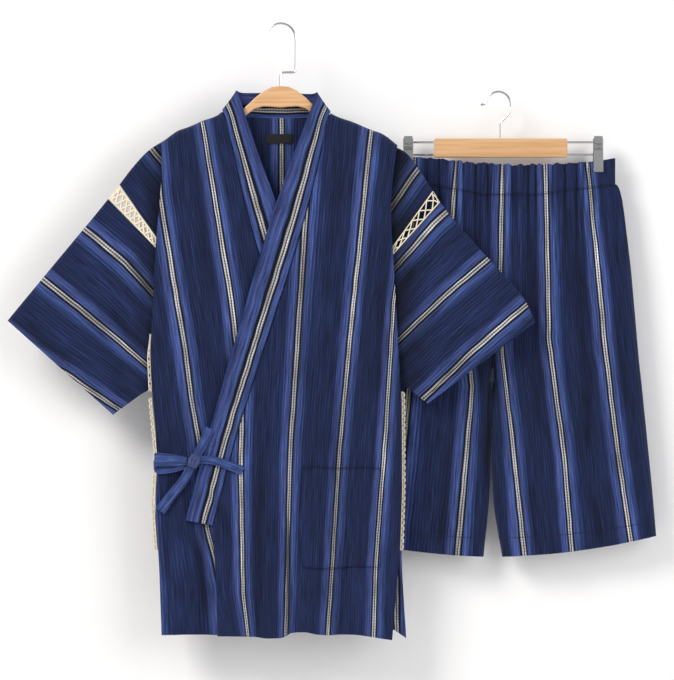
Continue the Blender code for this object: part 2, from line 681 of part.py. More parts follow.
def waist_rows(flat=11, bend=4, rows=2):
    """A ring with its seam at the centre back: half the back, an end, the front, an end, the rest."""
    left, right = WAIST_TOP[0][0] + WAIST_PINCH, WAIST_TOP[-1][0] - WAIST_PINCH
    spots = []
    middle = SHORTS_CENTRE
    for k in range(6):
        spots.append((middle + SEAM / 2 + (right - middle) * k / 6, 1.0, 0.0))
    for k in range(bend + 1):
        angle = math.pi * k / bend
        spots.append((right, math.cos(angle), math.sin(angle)))
    for k in range(1, flat):
        spots.append((right + (left - right) * k / flat, -1.0, 0.0))
    for k in range(bend + 1):
        angle = math.pi * k / bend
        spots.append((left, -math.cos(angle), -math.sin(angle)))
    for k in range(1, 7):
        spots.append((left + (middle - SEAM / 2 - left) * k / 6, 1.0, 0.0))
    made = []
    for row in range(rows + 1):
        line = []
        for x, facing, outward in spots:
            depth = waist_depth(x)
            x_out = x + outward * WAIST_PINCH
            top, low = level(WAIST_TOP, x_out), level(WAIST_SEAM, x_out)
            z = top + (low - top) * row / rows
            line.append(Vector((x_out, SHORTS_PLANE + facing * depth, z)))
        made.append(line)
    return made


def leg_rows(table, rows=10, flat=6, bend=3):
    """A leg as one sheet: from its inner edge round the outer fold and back to its inner edge."""
    side = 1 if table[0][2] > table[0][0] else -1
    made = []
    for k in range(rows + 1):
        at = (len(table) - 1) * k / rows
        inner_x, inner_z, outer_x, outer_z, depth, closed, apart = station(table, at)
        inner_x += side * apart
        width = abs(outer_x - inner_x)
        spots = []
        quarter = [math.pi / 2 * step / bend for step in range(bend)]
        for angle in quarter:
            spots.append((LEG_ROUND * (1 - math.cos(angle)), 1 - closed * (1 - math.sin(angle))))
        for step in range(flat):
            spots.append((LEG_ROUND + (width - 2 * LEG_ROUND) * step / flat, 1.0))
        for angle in quarter:
            spots.append((width - LEG_ROUND * (1 - math.sin(angle)), math.cos(angle)))
        spots.append((width, 0.0))
        half = [(reach, full, -1) for reach, full in spots]
        other = [(reach, full, 1) for reach, full in reversed(spots[:-1])]
        line = []
        for reach, full, facing in half + other:
            x = inner_x + side * reach
            across = reach / width
            z = inner_z + (outer_z - inner_z) * across
            z += (level(WAIST_SEAM, x) - 0.0014 - z) * (1 - ease(k / 2.0))
            z -= HEM_SAG * math.sin(math.pi * across) * ease((k - rows + 2) / 2)
            grown = ease((FULL_HEIGHT - z) / FULL_REACH)
            hung = waist_depth(x) * (1 - grown) + depth * full * grown
            if full < 1.0:
                hung = min(hung, WAIST_PINCH + depth * full)
            hung += ridges(LEG_FOLDS, x, z, SHORTS_HEM) * full ** 2
            hung = max(hung, HALF_SEAM) if reach < width else 0.0
            line.append(Vector((x, SHORTS_PLANE + facing * hung, z)))
        made.append(line)
    return made


def shorts(cotton):
    cloth("waistband", waist_rows(), BAND, cotton)
    cloth("leg_left", leg_rows(LEG_LEFT), CLOTH, cotton)
    cloth("leg_right", leg_rows(LEG_RIGHT), CLOTH, cotton)


# ---------------------------------------------------------------- hangers
ARM_THICKNESS = 0.0100
ARM_CLEAR = 0.0036          # the arm's top lies this far under the shoulder seam
HANGER_CROWN = ((-0.0850, -0.1465), (-0.0720, -0.1430), (-0.0610, -0.1335),
                (-0.0510, -0.1235), (-0.0320, -0.1062), (-0.0180, -0.0965), (0.0000, -0.0935),
                (0.0180, -0.0965), (0.0320, -0.1062), (0.0510, -0.1235), (0.0600, -0.1335),
                (0.0700, -0.1440), (0.0820, -0.1492))
HANGER_ENDS = ((-0.1660, -0.1710), (0.1650, -0.1755))
HANGER_UNDERSIDE = ((-0.1660, -0.1830), (-0.1100, -0.1700), (-0.0700, -0.1560), (-0.0480, -0.1345),
                    (-0.0360, -0.1262), (0.0000, -0.1256), (0.0360, -0.1262), (0.0480, -0.1345),
                    (0.0700, -0.1565), (0.1100, -0.1720), (0.1650, -0.1875))
COAT_HOOK = ((0.0, -0.0930), (0.0, -0.0780), (0.0012, -0.0742), (0.0050, -0.0731),
             (0.0180, -0.0729), (0.0215, -0.0715), (0.0225, -0.0680), (0.0226, -0.0450),
             (0.0226, -0.0250), (0.0198, -0.0125), (0.0120, -0.0035), (0.0, 0.0),
             (-0.0100, -0.0030), (-0.0180, -0.0105), (-0.0220, -0.0225))
CLIP_HOOK = ((0.3290, -0.1688), (0.3290, -0.1560), (0.3292, -0.1460), (0.3325, -0.1415),
             (0.3398, -0.1335), (0.3440, -0.1240), (0.3435, -0.1135), (0.3380, -0.1045),
             (0.3290, -0.0995), (0.3190, -0.1005), (0.3115, -0.1060), (0.3075, -0.1140),
             (0.3040, -0.1180), (0.2990, -0.1188))
BAR_SIZE = (0.1995, 0.0120, 0.0285)
BAR_HEIGHT = -0.1838
WIRE_HEIGHTS = (-0.1750, -0.1935)
CLIP_PLACES = (0.1905, 0.4747)
CLIP_SIZE = (0.0150, 0.0136, 0.0510)
CLIP_TOP = -0.1690
CLIP_SLOT = 0.0098          # clear space between the jaws, with the waistband in it
CLIP_BLOCK = 0.0205         # height of the solid part above the jaws


def wire(name, points, depth, finish, samples):
    """A bent wire: a curve with round ends closed, through the points at one depth."""
    line = by_station([(x, depth, z) for x, z in points])
    curve = bpy.data.curves.new(name, "CURVE")
    curve.dimensions = "3D"
    curve.bevel_depth = WIRE_RADIUS
    curve.bevel_resolution = 2
    curve.use_fill_caps = True
    spline = curve.splines.new("POLY")
    spline.points.add(samples - 1)
    for k in range(samples):
        spline.points[k].co = (*line(k / (samples - 1)), 1.0)
    obj = bpy.data.objects.new(name, curve)
    bpy.context.scene.collection.objects.link(obj)
    return keep(obj, finish)


def coat_hanger(beech, steel):
    """The wood is one board: its top edge follows the shoulders, crowned in the middle."""
    def shoulder_edge(side):
        points = LEFT_SHOULDER if side < 0 else RIGHT_SHOULDER
        inner = [point for point in points if 0.102 < abs(point[0]) < 0.162]
        return [(x, z - ARM_CLEAR) for x, z in inner]

    left = sorted(shoulder_edge(-1))
    right = sorted(shoulder_edge(1))
    top = path([HANGER_ENDS[0]] + left + list(HANGER_CROWN) + right + [HANGER_ENDS[1]])
    underside = path(HANGER_UNDERSIDE)
    columns, rows = 26, 2
    across = [HANGER_ENDS[0][0] + (HANGER_ENDS[1][0] - HANGER_ENDS[0][0]) * k / columns
              for k in range(columns + 1)]
    board = []
    for row in range(rows + 1):
        line = []
        for x in across:
            upper, lower = read_at_x(top, x), read_at_x(underside, x)
            line.append(Vector((x, 0.0, upper + (lower - upper) * row / rows)))
        board.append(line)
    wood = keep(wall(grid("coat_hanger_wood", board), ARM_THICKNESS), beech)
    soften = wood.modifiers.new("soft edges", "BEVEL")
    soften.width = 0.0022
    soften.segments = 2
    soften.limit_method = "ANGLE"
    soften.angle_limit = math.radians(50)
    wire("coat_hanger_hook", COAT_HOOK, 0.0, steel, 36)


def read_at_x(line, x):
    """Height of a curve that runs from low x to high x, where it passes x."""
    low, high = 0.0, 1.0
    for _ in range(30):
        middle = (low + high) / 2
        if line(middle).x < x:
            low = middle
        else:
            high = middle
    return line(low).y


def clip_hanger(beech, steel):
    bpy.ops.mesh.primitive_cube_add(size=1, location=(BAR_CENTRE, SHORTS_PLANE, BAR_HEIGHT))
    bar = bpy.context.object
    bar.name = "clip_hanger_bar"
    bar.scale = BAR_SIZE
    bpy.ops.object.transform_apply(location=False, rotation=False, scale=True)
    soften = bar.modifiers.new("soft edges", "BEVEL")
    soften.width = 0.0020
    soften.segments = 2
    keep(bar, beech)
    wire("clip_hanger_hook", CLIP_HOOK, SHORTS_PLANE, steel, 34)
    for side, x in zip(("left", "right"), CLIP_PLACES):
        clip(side, x, steel)
        outward = -1 if side == "left" else 1
        start = BAR_CENTRE + outward * (BAR_SIZE[0] / 2 + SEAM)
        stop = x - outward * (CLIP_SIZE[0] / 2 + SEAM)
        for place, z in zip(("upper", "lower"), WIRE_HEIGHTS):
            wire("clip_wire_" + side + "_" + place, ((start, z), (stop, z)), SHORTS_PLANE, steel, 2)


def clip(side, x, steel):
    """A block that slides on the wires, with two jaws that hold the waistband between them."""
    width, depth, height = CLIP_SIZE
    middle = (x, SHORTS_PLANE, CLIP_TOP - height / 2)
    bpy.ops.mesh.primitive_cube_add(size=1, location=middle)
    body = bpy.context.object
    body.name = "clip_" + side
    body.scale = CLIP_SIZE
    bpy.ops.object.transform_apply(location=False, rotation=False, scale=True)
    bpy.ops.mesh.primitive_cube_add(size=1, location=(x, SHORTS_PLANE, CLIP_TOP - CLIP_BLOCK - 0.05))
    slot = bpy.context.object
    slot.name = "clip_slot_" + side
    slot.scale = (width * 2, CLIP_SLOT, 0.1)
    slot.hide_render = True
    slot.display_type = "WIRE"
    for home in list(slot.users_collection):
        home.objects.unlink(slot)
    bpy.data.collections["cutters"].objects.link(slot)
    cut = body.modifiers.new("jaws", "BOOLEAN")
    cut.operation = "DIFFERENCE"
    cut.object = slot
    soften = body.modifiers.new("soft edges", "BEVEL")
    soften.width = 0.0006
    soften.segments = 1
    keep(body, steel)


def main():
    for obj in list(bpy.data.objects):
        bpy.data.objects.remove(obj, do_unlink=True)
    for name in ("jinbei_set", "cutters"):
        collection = bpy.data.collections.new(name)
        bpy.context.scene.collection.children.link(collection)
    cotton = material("indigo_cotton", INDIGO, 0.85)
    bright = material("bright_indigo_cotton", BRIGHT_INDIGO, 0.85)
    cream = material("cream_lace", CREAM, 0.9)
    black = material("black_label", BLACK, 0.7)
    beech = material("beech", BEECH, 0.45)
    steel = material("steel_wire", STEEL, 0.3, metallic=1.0)
    jacket((cotton, bright, cream, black))
    bow(bright)
    shorts(cotton)
    coat_hanger(beech, steel)
    clip_hanger(beech, steel)


main()
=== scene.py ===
# %% [markdown]
# # A jinbei set on its two hangers
# A jinbei is a summer suit: a wrap jacket with short sleeves and a pair of loose shorts. The cloth is
# a thin ribbed cotton with broken stripes, the sleeves are joined on with a strip of lace, and a
# bow at the wearer's right holds the wrap shut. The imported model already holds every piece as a
# plain thin wall in its true place. This lesson keeps those places and makes the cloth fine: each
# wall gives its outer face as a grid of points, the grid is made finer and creased, and it gets its
# thickness back. Patterns are not painted on. They are worked out from how far each point lies
# across the woven stripes, which is how a striped cloth tells the eye where it bends.

# %% load the frame
import math

import bmesh
import bpy
import numpy as np
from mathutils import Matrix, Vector


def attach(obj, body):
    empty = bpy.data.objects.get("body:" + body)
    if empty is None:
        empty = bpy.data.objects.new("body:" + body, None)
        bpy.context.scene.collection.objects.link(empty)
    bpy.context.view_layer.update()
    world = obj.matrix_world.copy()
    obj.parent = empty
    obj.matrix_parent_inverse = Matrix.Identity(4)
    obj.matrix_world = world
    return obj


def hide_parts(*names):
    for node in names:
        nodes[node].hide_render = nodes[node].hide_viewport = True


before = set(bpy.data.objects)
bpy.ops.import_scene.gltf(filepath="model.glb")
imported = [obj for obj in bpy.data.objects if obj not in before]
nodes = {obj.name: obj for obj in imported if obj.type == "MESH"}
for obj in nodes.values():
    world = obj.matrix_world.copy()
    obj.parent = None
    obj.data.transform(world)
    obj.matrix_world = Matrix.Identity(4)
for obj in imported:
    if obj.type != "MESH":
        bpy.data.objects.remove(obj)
bpy.context.view_layer.update()
bpy.ops.object.select_all(action="DESELECT")

# %% [markdown]
# ## Camera, backdrop and light
# The set hangs flat against a white wall and is seen square on, so the camera stands far off with a
# long lens: nothing converges, and a hem is as wide as it measures. The wall is a plane that is
# seen from its front only. From behind it is clear and casts no shadow, so that the back of the
# jacket can be looked at too, by the light of a lamp behind it. Two large soft lamps light the
# front: a window high on the left and a weaker one on the right. A pale world fills the folds.

# %% camera
CAMERA_FAR = 7.0
FRAME_WIDTH = 1.011
FRAME_CENTRE = (0.084, -0.471)
camera_data = bpy.data.cameras.new("camera")
camera_data.sensor_width = 36.0
camera_data.lens = 36.0 * CAMERA_FAR / FRAME_WIDTH
camera = bpy.data.objects.new("camera", camera_data)
camera.location = (FRAME_CENTRE[0], -CAMERA_FAR, FRAME_CENTRE[1])
camera.rotation_euler = (math.radians(90), 0, 0)
bpy.context.scene.collection.objects.link(camera)
bpy.context.scene.camera = camera
print("lens", round(camera_data.lens), "mm")

# %% wall and floor
WALL_PLACE, WALL_SIZE = 0.085, 6
FLOOR_HEIGHT, FLOOR_SIZE = -1.75, 8


def plain_material(name, colour, roughness):
    made = bpy.data.materials.new(name)
    made.use_nodes = True
    shader = made.node_tree.nodes["Principled BSDF"]
    shader.inputs["Base Color"].default_value = (*colour, 1.0)
    shader.inputs["Roughness"].default_value = roughness
    return made


wall_paint = plain_material("white wall", (0.86, 0.85, 0.84), 0.9)
tree = wall_paint.node_tree
clear = tree.nodes.new("ShaderNodeBsdfTransparent")
side = tree.nodes.new("ShaderNodeNewGeometry")
choose = tree.nodes.new("ShaderNodeMixShader")
tree.links.new(side.outputs["Backfacing"], choose.inputs[0])
tree.links.new(tree.nodes["Principled BSDF"].outputs[0], choose.inputs[1])
tree.links.new(clear.outputs[0], choose.inputs[2])
tree.links.new(choose.outputs[0], tree.nodes["Material Output"].inputs["Surface"])
bpy.ops.mesh.primitive_plane_add(size=WALL_SIZE, location=(0.1, WALL_PLACE, -0.5),
                                 rotation=(math.radians(90), 0, 0))
backdrop = bpy.context.object
backdrop.name = "wall"
backdrop.data.materials.append(wall_paint)
backdrop.visible_shadow = False        # the lamp behind it may light the backs of the clothes
bpy.ops.mesh.primitive_plane_add(size=FLOOR_SIZE, location=(0.1, 0, FLOOR_HEIGHT))
ground = bpy.context.object
ground.name = "floor"
ground.data.materials.append(plain_material("pale floor", (0.80, 0.79, 0.78), 0.8))

# %% lamps and world


def area_lamp(name, place, aim, size, power, colour=(1.0, 1.0, 1.0)):
    data = bpy.data.lights.new(name, "AREA")
    data.shape = "SQUARE"
    data.size = size
    data.energy = power
    data.color = colour
    lamp = bpy.data.objects.new(name, data)
    lamp.location = place
    lamp.rotation_euler = (Vector(aim) - Vector(place)).to_track_quat("-Z", "Y").to_euler()
    bpy.context.scene.collection.objects.link(lamp)


area_lamp("window", (-1.7, -2.3, 1.3), (0.1, 0, -0.45), 1.3, 75.0, (1.0, 0.98, 0.95))
area_lamp("reflector", (2.0, -2.6, 0.0), (0.1, 0, -0.5), 1.8, 38.0, (0.95, 0.97, 1.0))
area_lamp("back fill", (-1.2, 2.6, 0.6), (0.1, 0, -0.5), 2.0, 30.0)
world = bpy.data.worlds.new("pale room")
bpy.context.scene.world = world
world.use_nodes = True
world.node_tree.nodes["Background"].inputs["Color"].default_value = (0.96, 0.97, 1.0, 1.0)
world.node_tree.nodes["Background"].inputs["Strength"].default_value = 0.52
bpy.context.scene.view_settings.view_transform = "Standard"

# %% [markdown]
# ## From a plain wall to fine cloth
# A CAD wall is a closed skin of triangles. Its two faces meet its rims at a sharp edge, so a walk
# over the triangles that stops at sharp edges stays on one face. The points of that face still lie
# in the rows in which the piece was laid out. Read row by row they are a grid, and a smooth curve
# through each row and each column makes that grid as fine as wanted without moving its edges.

# %% read one face of a wall as rows of points
MERGE = 1e-5
RIM_ANGLE = math.radians(62)


def wall_face(build, facing):
    """The triangles of a wall's outer face: the one that looks along facing, or else the larger."""
    unseen = set(build.faces)
    found = []
    while unseen:
        face_set = [unseen.pop()]
        for face in face_set:
            for edge in face.edges:
                if edge.calc_face_angle(0.0) < RIM_ANGLE:
                    beside = [other for other in edge.link_faces if other in unseen]
                    unseen.difference_update(beside)
                    face_set.extend(beside)
        found.append(face_set)
    found.sort(key=lambda face_set: -sum(face.calc_area() for face in face_set))
    if facing is None:
        return found[0]
    looks = [sum((face.normal * face.calc_area()).dot(facing) for face in part) for part in found[:2]]
    return found[0] if looks[0] > looks[1] else found[1]


def wall_rows(node, columns, first, last, facing=None):
    """Rows of points on a wall's outer face. The first row runs from near first to near last."""
    build = bmesh.new()
    build.from_mesh(nodes[node].data)
    bmesh.ops.remove_doubles(build, verts=build.verts, dist=MERGE)
    build.normal_update()
    faces = set(wall_face(build, Vector(facing) if facing else None))
    near, rim = {}, {}
    for face in faces:
        for edge in face.edges:
            a, b = edge.verts
            near.setdefault(a, set()).add(b)
            near.setdefault(b, set()).add(a)
            if sum(other in faces for other in edge.link_faces) == 1:
                rim.setdefault(a, set()).add(b)
                rim.setdefault(b, set()).add(a)
    start = min(rim, key=lambda point: (point.co - Vector(first)).length)
    rows = []
    for second in rim[start]:
        row = [start, second]
        while len(row) <= columns:
            row.append(next(point for point in rim[row[-1]] if point is not row[-2]))
        rows.append(row)
    rows = [min(rows, key=lambda row: (row[-1].co - Vector(last)).length)]
    used = set(rows[0])
    while True:
        below = {point for above in rows[-1] for point in near[above]} - used
        if not below:
            break
        row = [next(point for point in rim[rows[-1][0]] if point in below)]
        while len(row) < len(below):
            row.append(next(point for point in near[row[-1]] if point in below and point not in row))
        used |= below
        rows.append(row)
    places = [[point.co.copy() for point in row] for row in rows]
    for above, row in zip(places, places[1:]):
        while len(row) < len(above):
            gaps = [(row[k + 1] - row[k]).length / (above[k + 1] - above[k]).length
                    for k in range(len(row) - 1)]
            k = gaps.index(max(gaps))
            row.insert(k + 1, row[k].lerp(row[k + 1], 0.5))
    grid = np.array([[place[:] for place in row] for row in places])
    cells = np.cross(grid[:-1, 1:] - grid[:-1, :-1], grid[1:, :-1] - grid[:-1, :-1])
    agreement = 0.0
    for r, row in enumerate(rows[:-1]):
        if len(row) == len(places[0]):
            for c, point in enumerate(row[:-1]):
                normal = sum((face.normal for face in point.link_faces if face in faces), Vector())
                agreement += float(np.dot(cells[r, c], normal))
    build.free()
    return grid, agreement > 0


# %% make a grid of points finer


def ease(value):
    """From 0 to 1 on a smooth curve, and level beyond both ends."""
    value = np.clip(value, 0.0, 1.0)
    return value * value * (3 - 2 * value)


def finer(grid, times):
    """Smooth curves through the grid's points, this many steps to a row, that never overshoot them."""
    steps = np.linalg.norm(np.diff(grid, axis=0), axis=2).mean(axis=1)
    steps = np.maximum(steps, 1e-6)[:, None, None]
    slopes = np.diff(grid, axis=0) / steps
    tangents = np.empty_like(grid)
    tangents[0], tangents[-1] = slopes[0], slopes[-1]
    middle = (slopes[:-1] * steps[1:] + slopes[1:] * steps[:-1]) / (steps[:-1] + steps[1:])
    most = 2.5 * np.minimum(np.abs(slopes[:-1]), np.abs(slopes[1:]))
    tangents[1:-1] = np.where(slopes[:-1] * slopes[1:] > 0, np.clip(middle, -most, most), 0.0)
    made = [grid[:1]]
    for k in range(1, times + 1):
        s = k / times
        point = (grid[:-1] * (2 * s ** 3 - 3 * s ** 2 + 1) + grid[1:] * (3 * s ** 2 - 2 * s ** 3)
                 + steps * (tangents[:-1] * (s ** 3 - 2 * s ** 2 + s) + tangents[1:] * (s ** 3 - s ** 2)))
        made.append(point)
    body = np.stack(made[1:], axis=1).reshape(-1, *grid.shape[1:])
    return np.concatenate([grid[:1], body], axis=0)


def fine_grid(grid, down, across):
    return finer(finer(grid, down).swapaxes(0, 1), across).swapaxes(0, 1)


def grid_normals(grid):
    normals = np.cross(np.gradient(grid, axis=1), np.gradient(grid, axis=0))
    return normals / np.maximum(np.linalg.norm(normals, axis=2, keepdims=True), 1e-12)


# %% [markdown]
# ## Creases
# Hung cloth creases where it was folded and pulled. Each crease here is one line of a table: where
# it starts and ends, how wide it is, and how far it stands out (a trough is negative). They are
# placed one by one, uneven in length and spacing. All the pieces of the front share one table, so a
# crease crosses a seam without tearing it.

# %% crease tables
CREASE_DEPTH = 1.5         # the tables' heights are for a light pull, and this is how much harder it is
CREASE_FADE = (0.12, 0.35)  # how far a crease runs past its ends, and over what share it fades there
CREASE_FRONT = (
    # x,     z,      x,      z,      width, out
    (-0.165, -0.300, -0.150, -0.560, 0.010, 0.0014),
    (-0.128, -0.200, -0.104, -0.380, 0.009, -0.0010),
    (-0.088, -0.240, -0.070, -0.500, 0.008, 0.0011),
    (-0.160, -0.640, -0.128, -0.655, 0.006, 0.0014),
    (-0.170, -0.690, -0.132, -0.664, 0.006, -0.0012),
    (-0.150, -0.760, -0.158, -0.905, 0.010, 0.0017),
    (-0.118, -0.700, -0.112, -0.905, 0.008, -0.0016),
    (-0.088, -0.790, -0.092, -0.905, 0.007, 0.0015),
    (-0.118, -0.660, -0.070, -0.720, 0.007, 0.0012),
    (-0.112, -0.672, -0.060, -0.790, 0.006, -0.0010),
    (-0.052, -0.560, -0.066, -0.860, 0.009, 0.0015),
    (-0.028, -0.640, -0.034, -0.905, 0.008, -0.0014),
    (0.002, -0.480, -0.006, -0.760, 0.009, 0.0012),
    (0.012, -0.740, 0.013, -0.912, 0.0045, -0.0026),
    (0.030, -0.700, 0.028, -0.905, 0.008, 0.0014),
    (0.040, -0.330, 0.030, -0.560, 0.009, -0.0011),
    (0.064, -0.230, 0.052, -0.470, 0.010, 0.0012),
    (0.088, -0.180, 0.074, -0.360, 0.008, -0.0010),
    (0.084, -0.560, 0.078, -0.905, 0.010, -0.0013),
    (0.118, -0.260, 0.104, -0.520, 0.009, 0.0013),
    (0.112, -0.800, 0.116, -0.905, 0.008, 0.0016),
    (0.150, -0.380, 0.142, -0.560, 0.008, -0.0013),
    (0.155, -0.600, 0.160, -0.880, 0.008, 0.0012),
    (0.138, -0.190, 0.146, -0.300, 0.008, 0.0010),
)
CREASE_BACK = (
    (-0.150, -0.260, -0.140, -0.560, 0.010, 0.0015),
    (-0.120, -0.500, -0.128, -0.895, 0.010, -0.0014),
    (-0.090, -0.200, -0.074, -0.420, 0.009, 0.0012),
    (-0.060, -0.600, -0.070, -0.895, 0.009, 0.0016),
    (-0.030, -0.170, -0.020, -0.330, 0.008, -0.0011),
    (-0.016, -0.480, -0.024, -0.880, 0.010, 0.0013),
    (0.022, -0.560, 0.028, -0.895, 0.008, -0.0015),
    (0.040, -0.180, 0.030, -0.400, 0.009, 0.0011),
    (0.072, -0.300, 0.064, -0.620, 0.010, -0.0013),
    (0.096, -0.700, 0.104, -0.895, 0.009, 0.0016),
    (0.124, -0.220, 0.112, -0.500, 0.009, 0.0013),
    (0.146, -0.520, 0.152, -0.890, 0.010, -0.0014),
)
CREASE_ARMS = (
    (-0.190, -0.245, -0.176, -0.320, 0.008, -0.0016),
    (-0.212, -0.240, -0.198, -0.290, 0.007, 0.0010),
    (-0.262, -0.300, -0.205, -0.352, 0.008, 0.0014),
    (-0.230, -0.345, -0.180, -0.420, 0.009, -0.0020),
    (-0.290, -0.345, -0.215, -0.440, 0.011, 0.0016),
    (-0.262, -0.420, -0.190, -0.505, 0.010, -0.0018),
    (-0.330, -0.400, -0.250, -0.470, 0.010, -0.0012),
    (-0.345, -0.440, -0.262, -0.530, 0.011, 0.0013),
    (-0.384, -0.440, -0.300, -0.515, 0.010, -0.0011),
    (0.176, -0.230, 0.160, -0.330, 0.008, -0.0015),
    (0.200, -0.245, 0.180, -0.300, 0.007, 0.0011),
    (0.232, -0.300, 0.176, -0.352, 0.008, 0.0013),
    (0.196, -0.360, 0.160, -0.430, 0.009, -0.0020),
    (0.262, -0.340, 0.190, -0.420, 0.010, 0.0014),
    (0.240, -0.420, 0.172, -0.500, 0.010, -0.0017),
    (0.320, -0.400, 0.240, -0.470, 0.010, 0.0012),
    (0.318, -0.450, 0.238, -0.535, 0.010, -0.0012),
    (0.352, -0.430, 0.275, -0.500, 0.009, 0.0012),
)
CREASE_SHORTS = (
    (0.205, -0.260, 0.190, -0.480, 0.009, 0.0014),
    (0.236, -0.270, 0.214, -0.560, 0.010, -0.0015),
    (0.268, -0.270, 0.252, -0.500, 0.008, 0.0014),
    (0.292, -0.300, 0.296, -0.560, 0.008, -0.0013),
    (0.320, -0.430, 0.306, -0.690, 0.006, -0.0024),
    (0.352, -0.270, 0.344, -0.480, 0.008, 0.0014),
    (0.376, -0.300, 0.388, -0.640, 0.009, -0.0014),
    (0.404, -0.270, 0.420, -0.500, 0.009, 0.0015),
    (0.438, -0.280, 0.462, -0.660, 0.010, -0.0015),
    (0.470, -0.270, 0.496, -0.520, 0.009, 0.0014),
    (0.500, -0.420, 0.532, -0.700, 0.009, -0.0013),
    (0.120, -0.560, 0.105, -0.760, 0.010, 0.0014),
    (0.165, -0.520, 0.150, -0.780, 0.009, -0.0016),
    (0.205, -0.600, 0.198, -0.780, 0.008, 0.0016),
    (0.250, -0.620, 0.240, -0.790, 0.009, -0.0013),
    (0.345, -0.620, 0.352, -0.790, 0.008, 0.0014),
    (0.372, -0.680, 0.380, -0.790, 0.007, -0.0013),
    (0.415, -0.640, 0.424, -0.785, 0.009, 0.0016),
    (0.468, -0.700, 0.478, -0.780, 0.008, -0.0014),
    (0.512, -0.560, 0.530, -0.770, 0.010, 0.0015),
)


def creases(grid, table):
    """How far each point of a grid stands out because of a table's creases."""
    x, z = grid[..., 0], grid[..., 2]
    out = np.zeros(x.shape)
    for x_start, z_start, x_end, z_end, width, height in table:
        run = np.array((x_end - x_start, z_end - z_start))
        length = np.hypot(*run)
        along = ((x - x_start) * run[0] + (z - z_start) * run[1]) / length ** 2
        beside = ((x - x_start) * run[1] - (z - z_start) * run[0]) / length
        past, share = CREASE_FADE
        fade = ease(np.minimum(along + past, 1 + past - along) / share)
        out += CREASE_DEPTH * height * fade * np.exp(-(beside / width) ** 2)
    return out


# %% [markdown]
# ## Where the stripes run
# The warp of this cloth repeats about every 94 mm: a pair of white cords in a black ground, a blue
# band on either side, then dark indigo. For each piece a few white pairs are written down as lines
# over the piece. Between two of them the pattern is stretched evenly, so the stripes lean, bend
# and crowd together as the cloth does. A stripe map gives each point its distance across the
# repeats and along the warp, in metres of cloth, and stores it as the piece's UV map.

# %% stripe lines
REPEAT = 0.094
LINES_OVER = (
    (-2, ((-0.0570, -0.5850), (-0.0585, -0.6660), (-0.0555, -0.8445), (-0.0480, -0.9090))),
    (-1, ((0.0375, -0.2865), (0.0255, -0.4710), (0.0144, -0.6405), (0.0075, -0.9060))),
    (0, ((0.1350, -0.1620), (0.1035, -0.4710), (0.0885, -0.6270), (0.0698, -0.9090))),
    (1, ((0.2000, -0.1620), (0.1674, -0.4170), (0.1560, -0.6075), (0.1410, -0.8055), (0.1380, -0.9090))),
)
LINES_UNDER = (
    (-1, ((-0.2700, -0.1700), (-0.2350, -0.4110), (-0.2120, -0.5600), (-0.1980, -0.7000),
          (-0.1910, -0.9100))),
    (0, ((-0.1840, -0.1700), (-0.1785, -0.2565), (-0.1535, -0.4110), (-0.1420, -0.4780),
         (-0.1320, -0.5565), (-0.1205, -0.6240), (-0.1080, -0.7500), (-0.0960, -0.7965),
         (-0.0860, -0.8400), (-0.0800, -0.9100))),
    (1, ((-0.1155, -0.1470), (-0.0730, -0.4110), (-0.0560, -0.5600), (-0.0400, -0.9100))),
)
LINES_BACK = (
    (0, ((0.0015, -0.1400), (0.0030, -0.9100))),
    (1, ((0.0800, -0.1400), (0.0880, -0.9100))),
)
LINES_SLEEVE_LEFT = (
    (0, ((-0.2915, -0.3060), (-0.2310, -0.3560), (-0.1925, -0.3987))),
    (1, ((-0.3533, -0.3805), (-0.2580, -0.4569), (-0.1952, -0.5115))),
)
LINES_FALL_LEFT = (
    (0, ((-0.1904, -0.1889), (-0.1743, -0.2088))),
    (1, ((-0.2560, -0.2600), (-0.1740, -0.3640))),
)
LINES_SLEEVE_RIGHT = (
    (0, ((0.2528, -0.2763), (0.2270, -0.2995), (0.1728, -0.3615))),
    (1, ((0.3083, -0.3513), (0.2390, -0.4100), (0.1740, -0.4725))),
    (2, ((0.3639, -0.4197), (0.2860, -0.4870), (0.2141, -0.5565))),
)
LINES_FALL_RIGHT = (
    (0, ((0.2037, -0.2183), (0.1638, -0.2763))),
    (1, ((0.2680, -0.2880), (0.1860, -0.3840))),
)
LINES_SHORTS = (
    (-3, ((0.1450, -0.2000), (0.1150, -0.4900), (0.0750, -0.7900))),
    (-2, ((0.2000, -0.2000), (0.1960, -0.4900), (0.1690, -0.7900))),
    (-1, ((0.2619, -0.2118), (0.2594, -0.2480), (0.2540, -0.3100), (0.2790, -0.4700),
          (0.2865, -0.5397), (0.2826, -0.5888), (0.2640, -0.7860))),
    (0, ((0.3317, -0.2196), (0.3278, -0.3719), (0.3303, -0.4932), (0.3420, -0.5888), (0.3645, -0.7935))),
    (1, ((0.3960, -0.2160), (0.4000, -0.4710), (0.4215, -0.6330), (0.4335, -0.7785))),
    (2, ((0.4590, -0.2085), (0.4830, -0.4710), (0.5025, -0.6330), (0.5235, -0.7740))),
    (3, ((0.5180, -0.2050), (0.5600, -0.4710), (0.5900, -0.7740))),
)
DOWN_THE_BODY = ((1.0, 0.0), (0.0, -1.0))          # across the stripes, along the stripes
OUT_LEFT_ARM = ((-0.677, -0.736), (0.736, -0.677))
OUT_RIGHT_ARM = ((0.670, -0.742), (-0.742, -0.670))


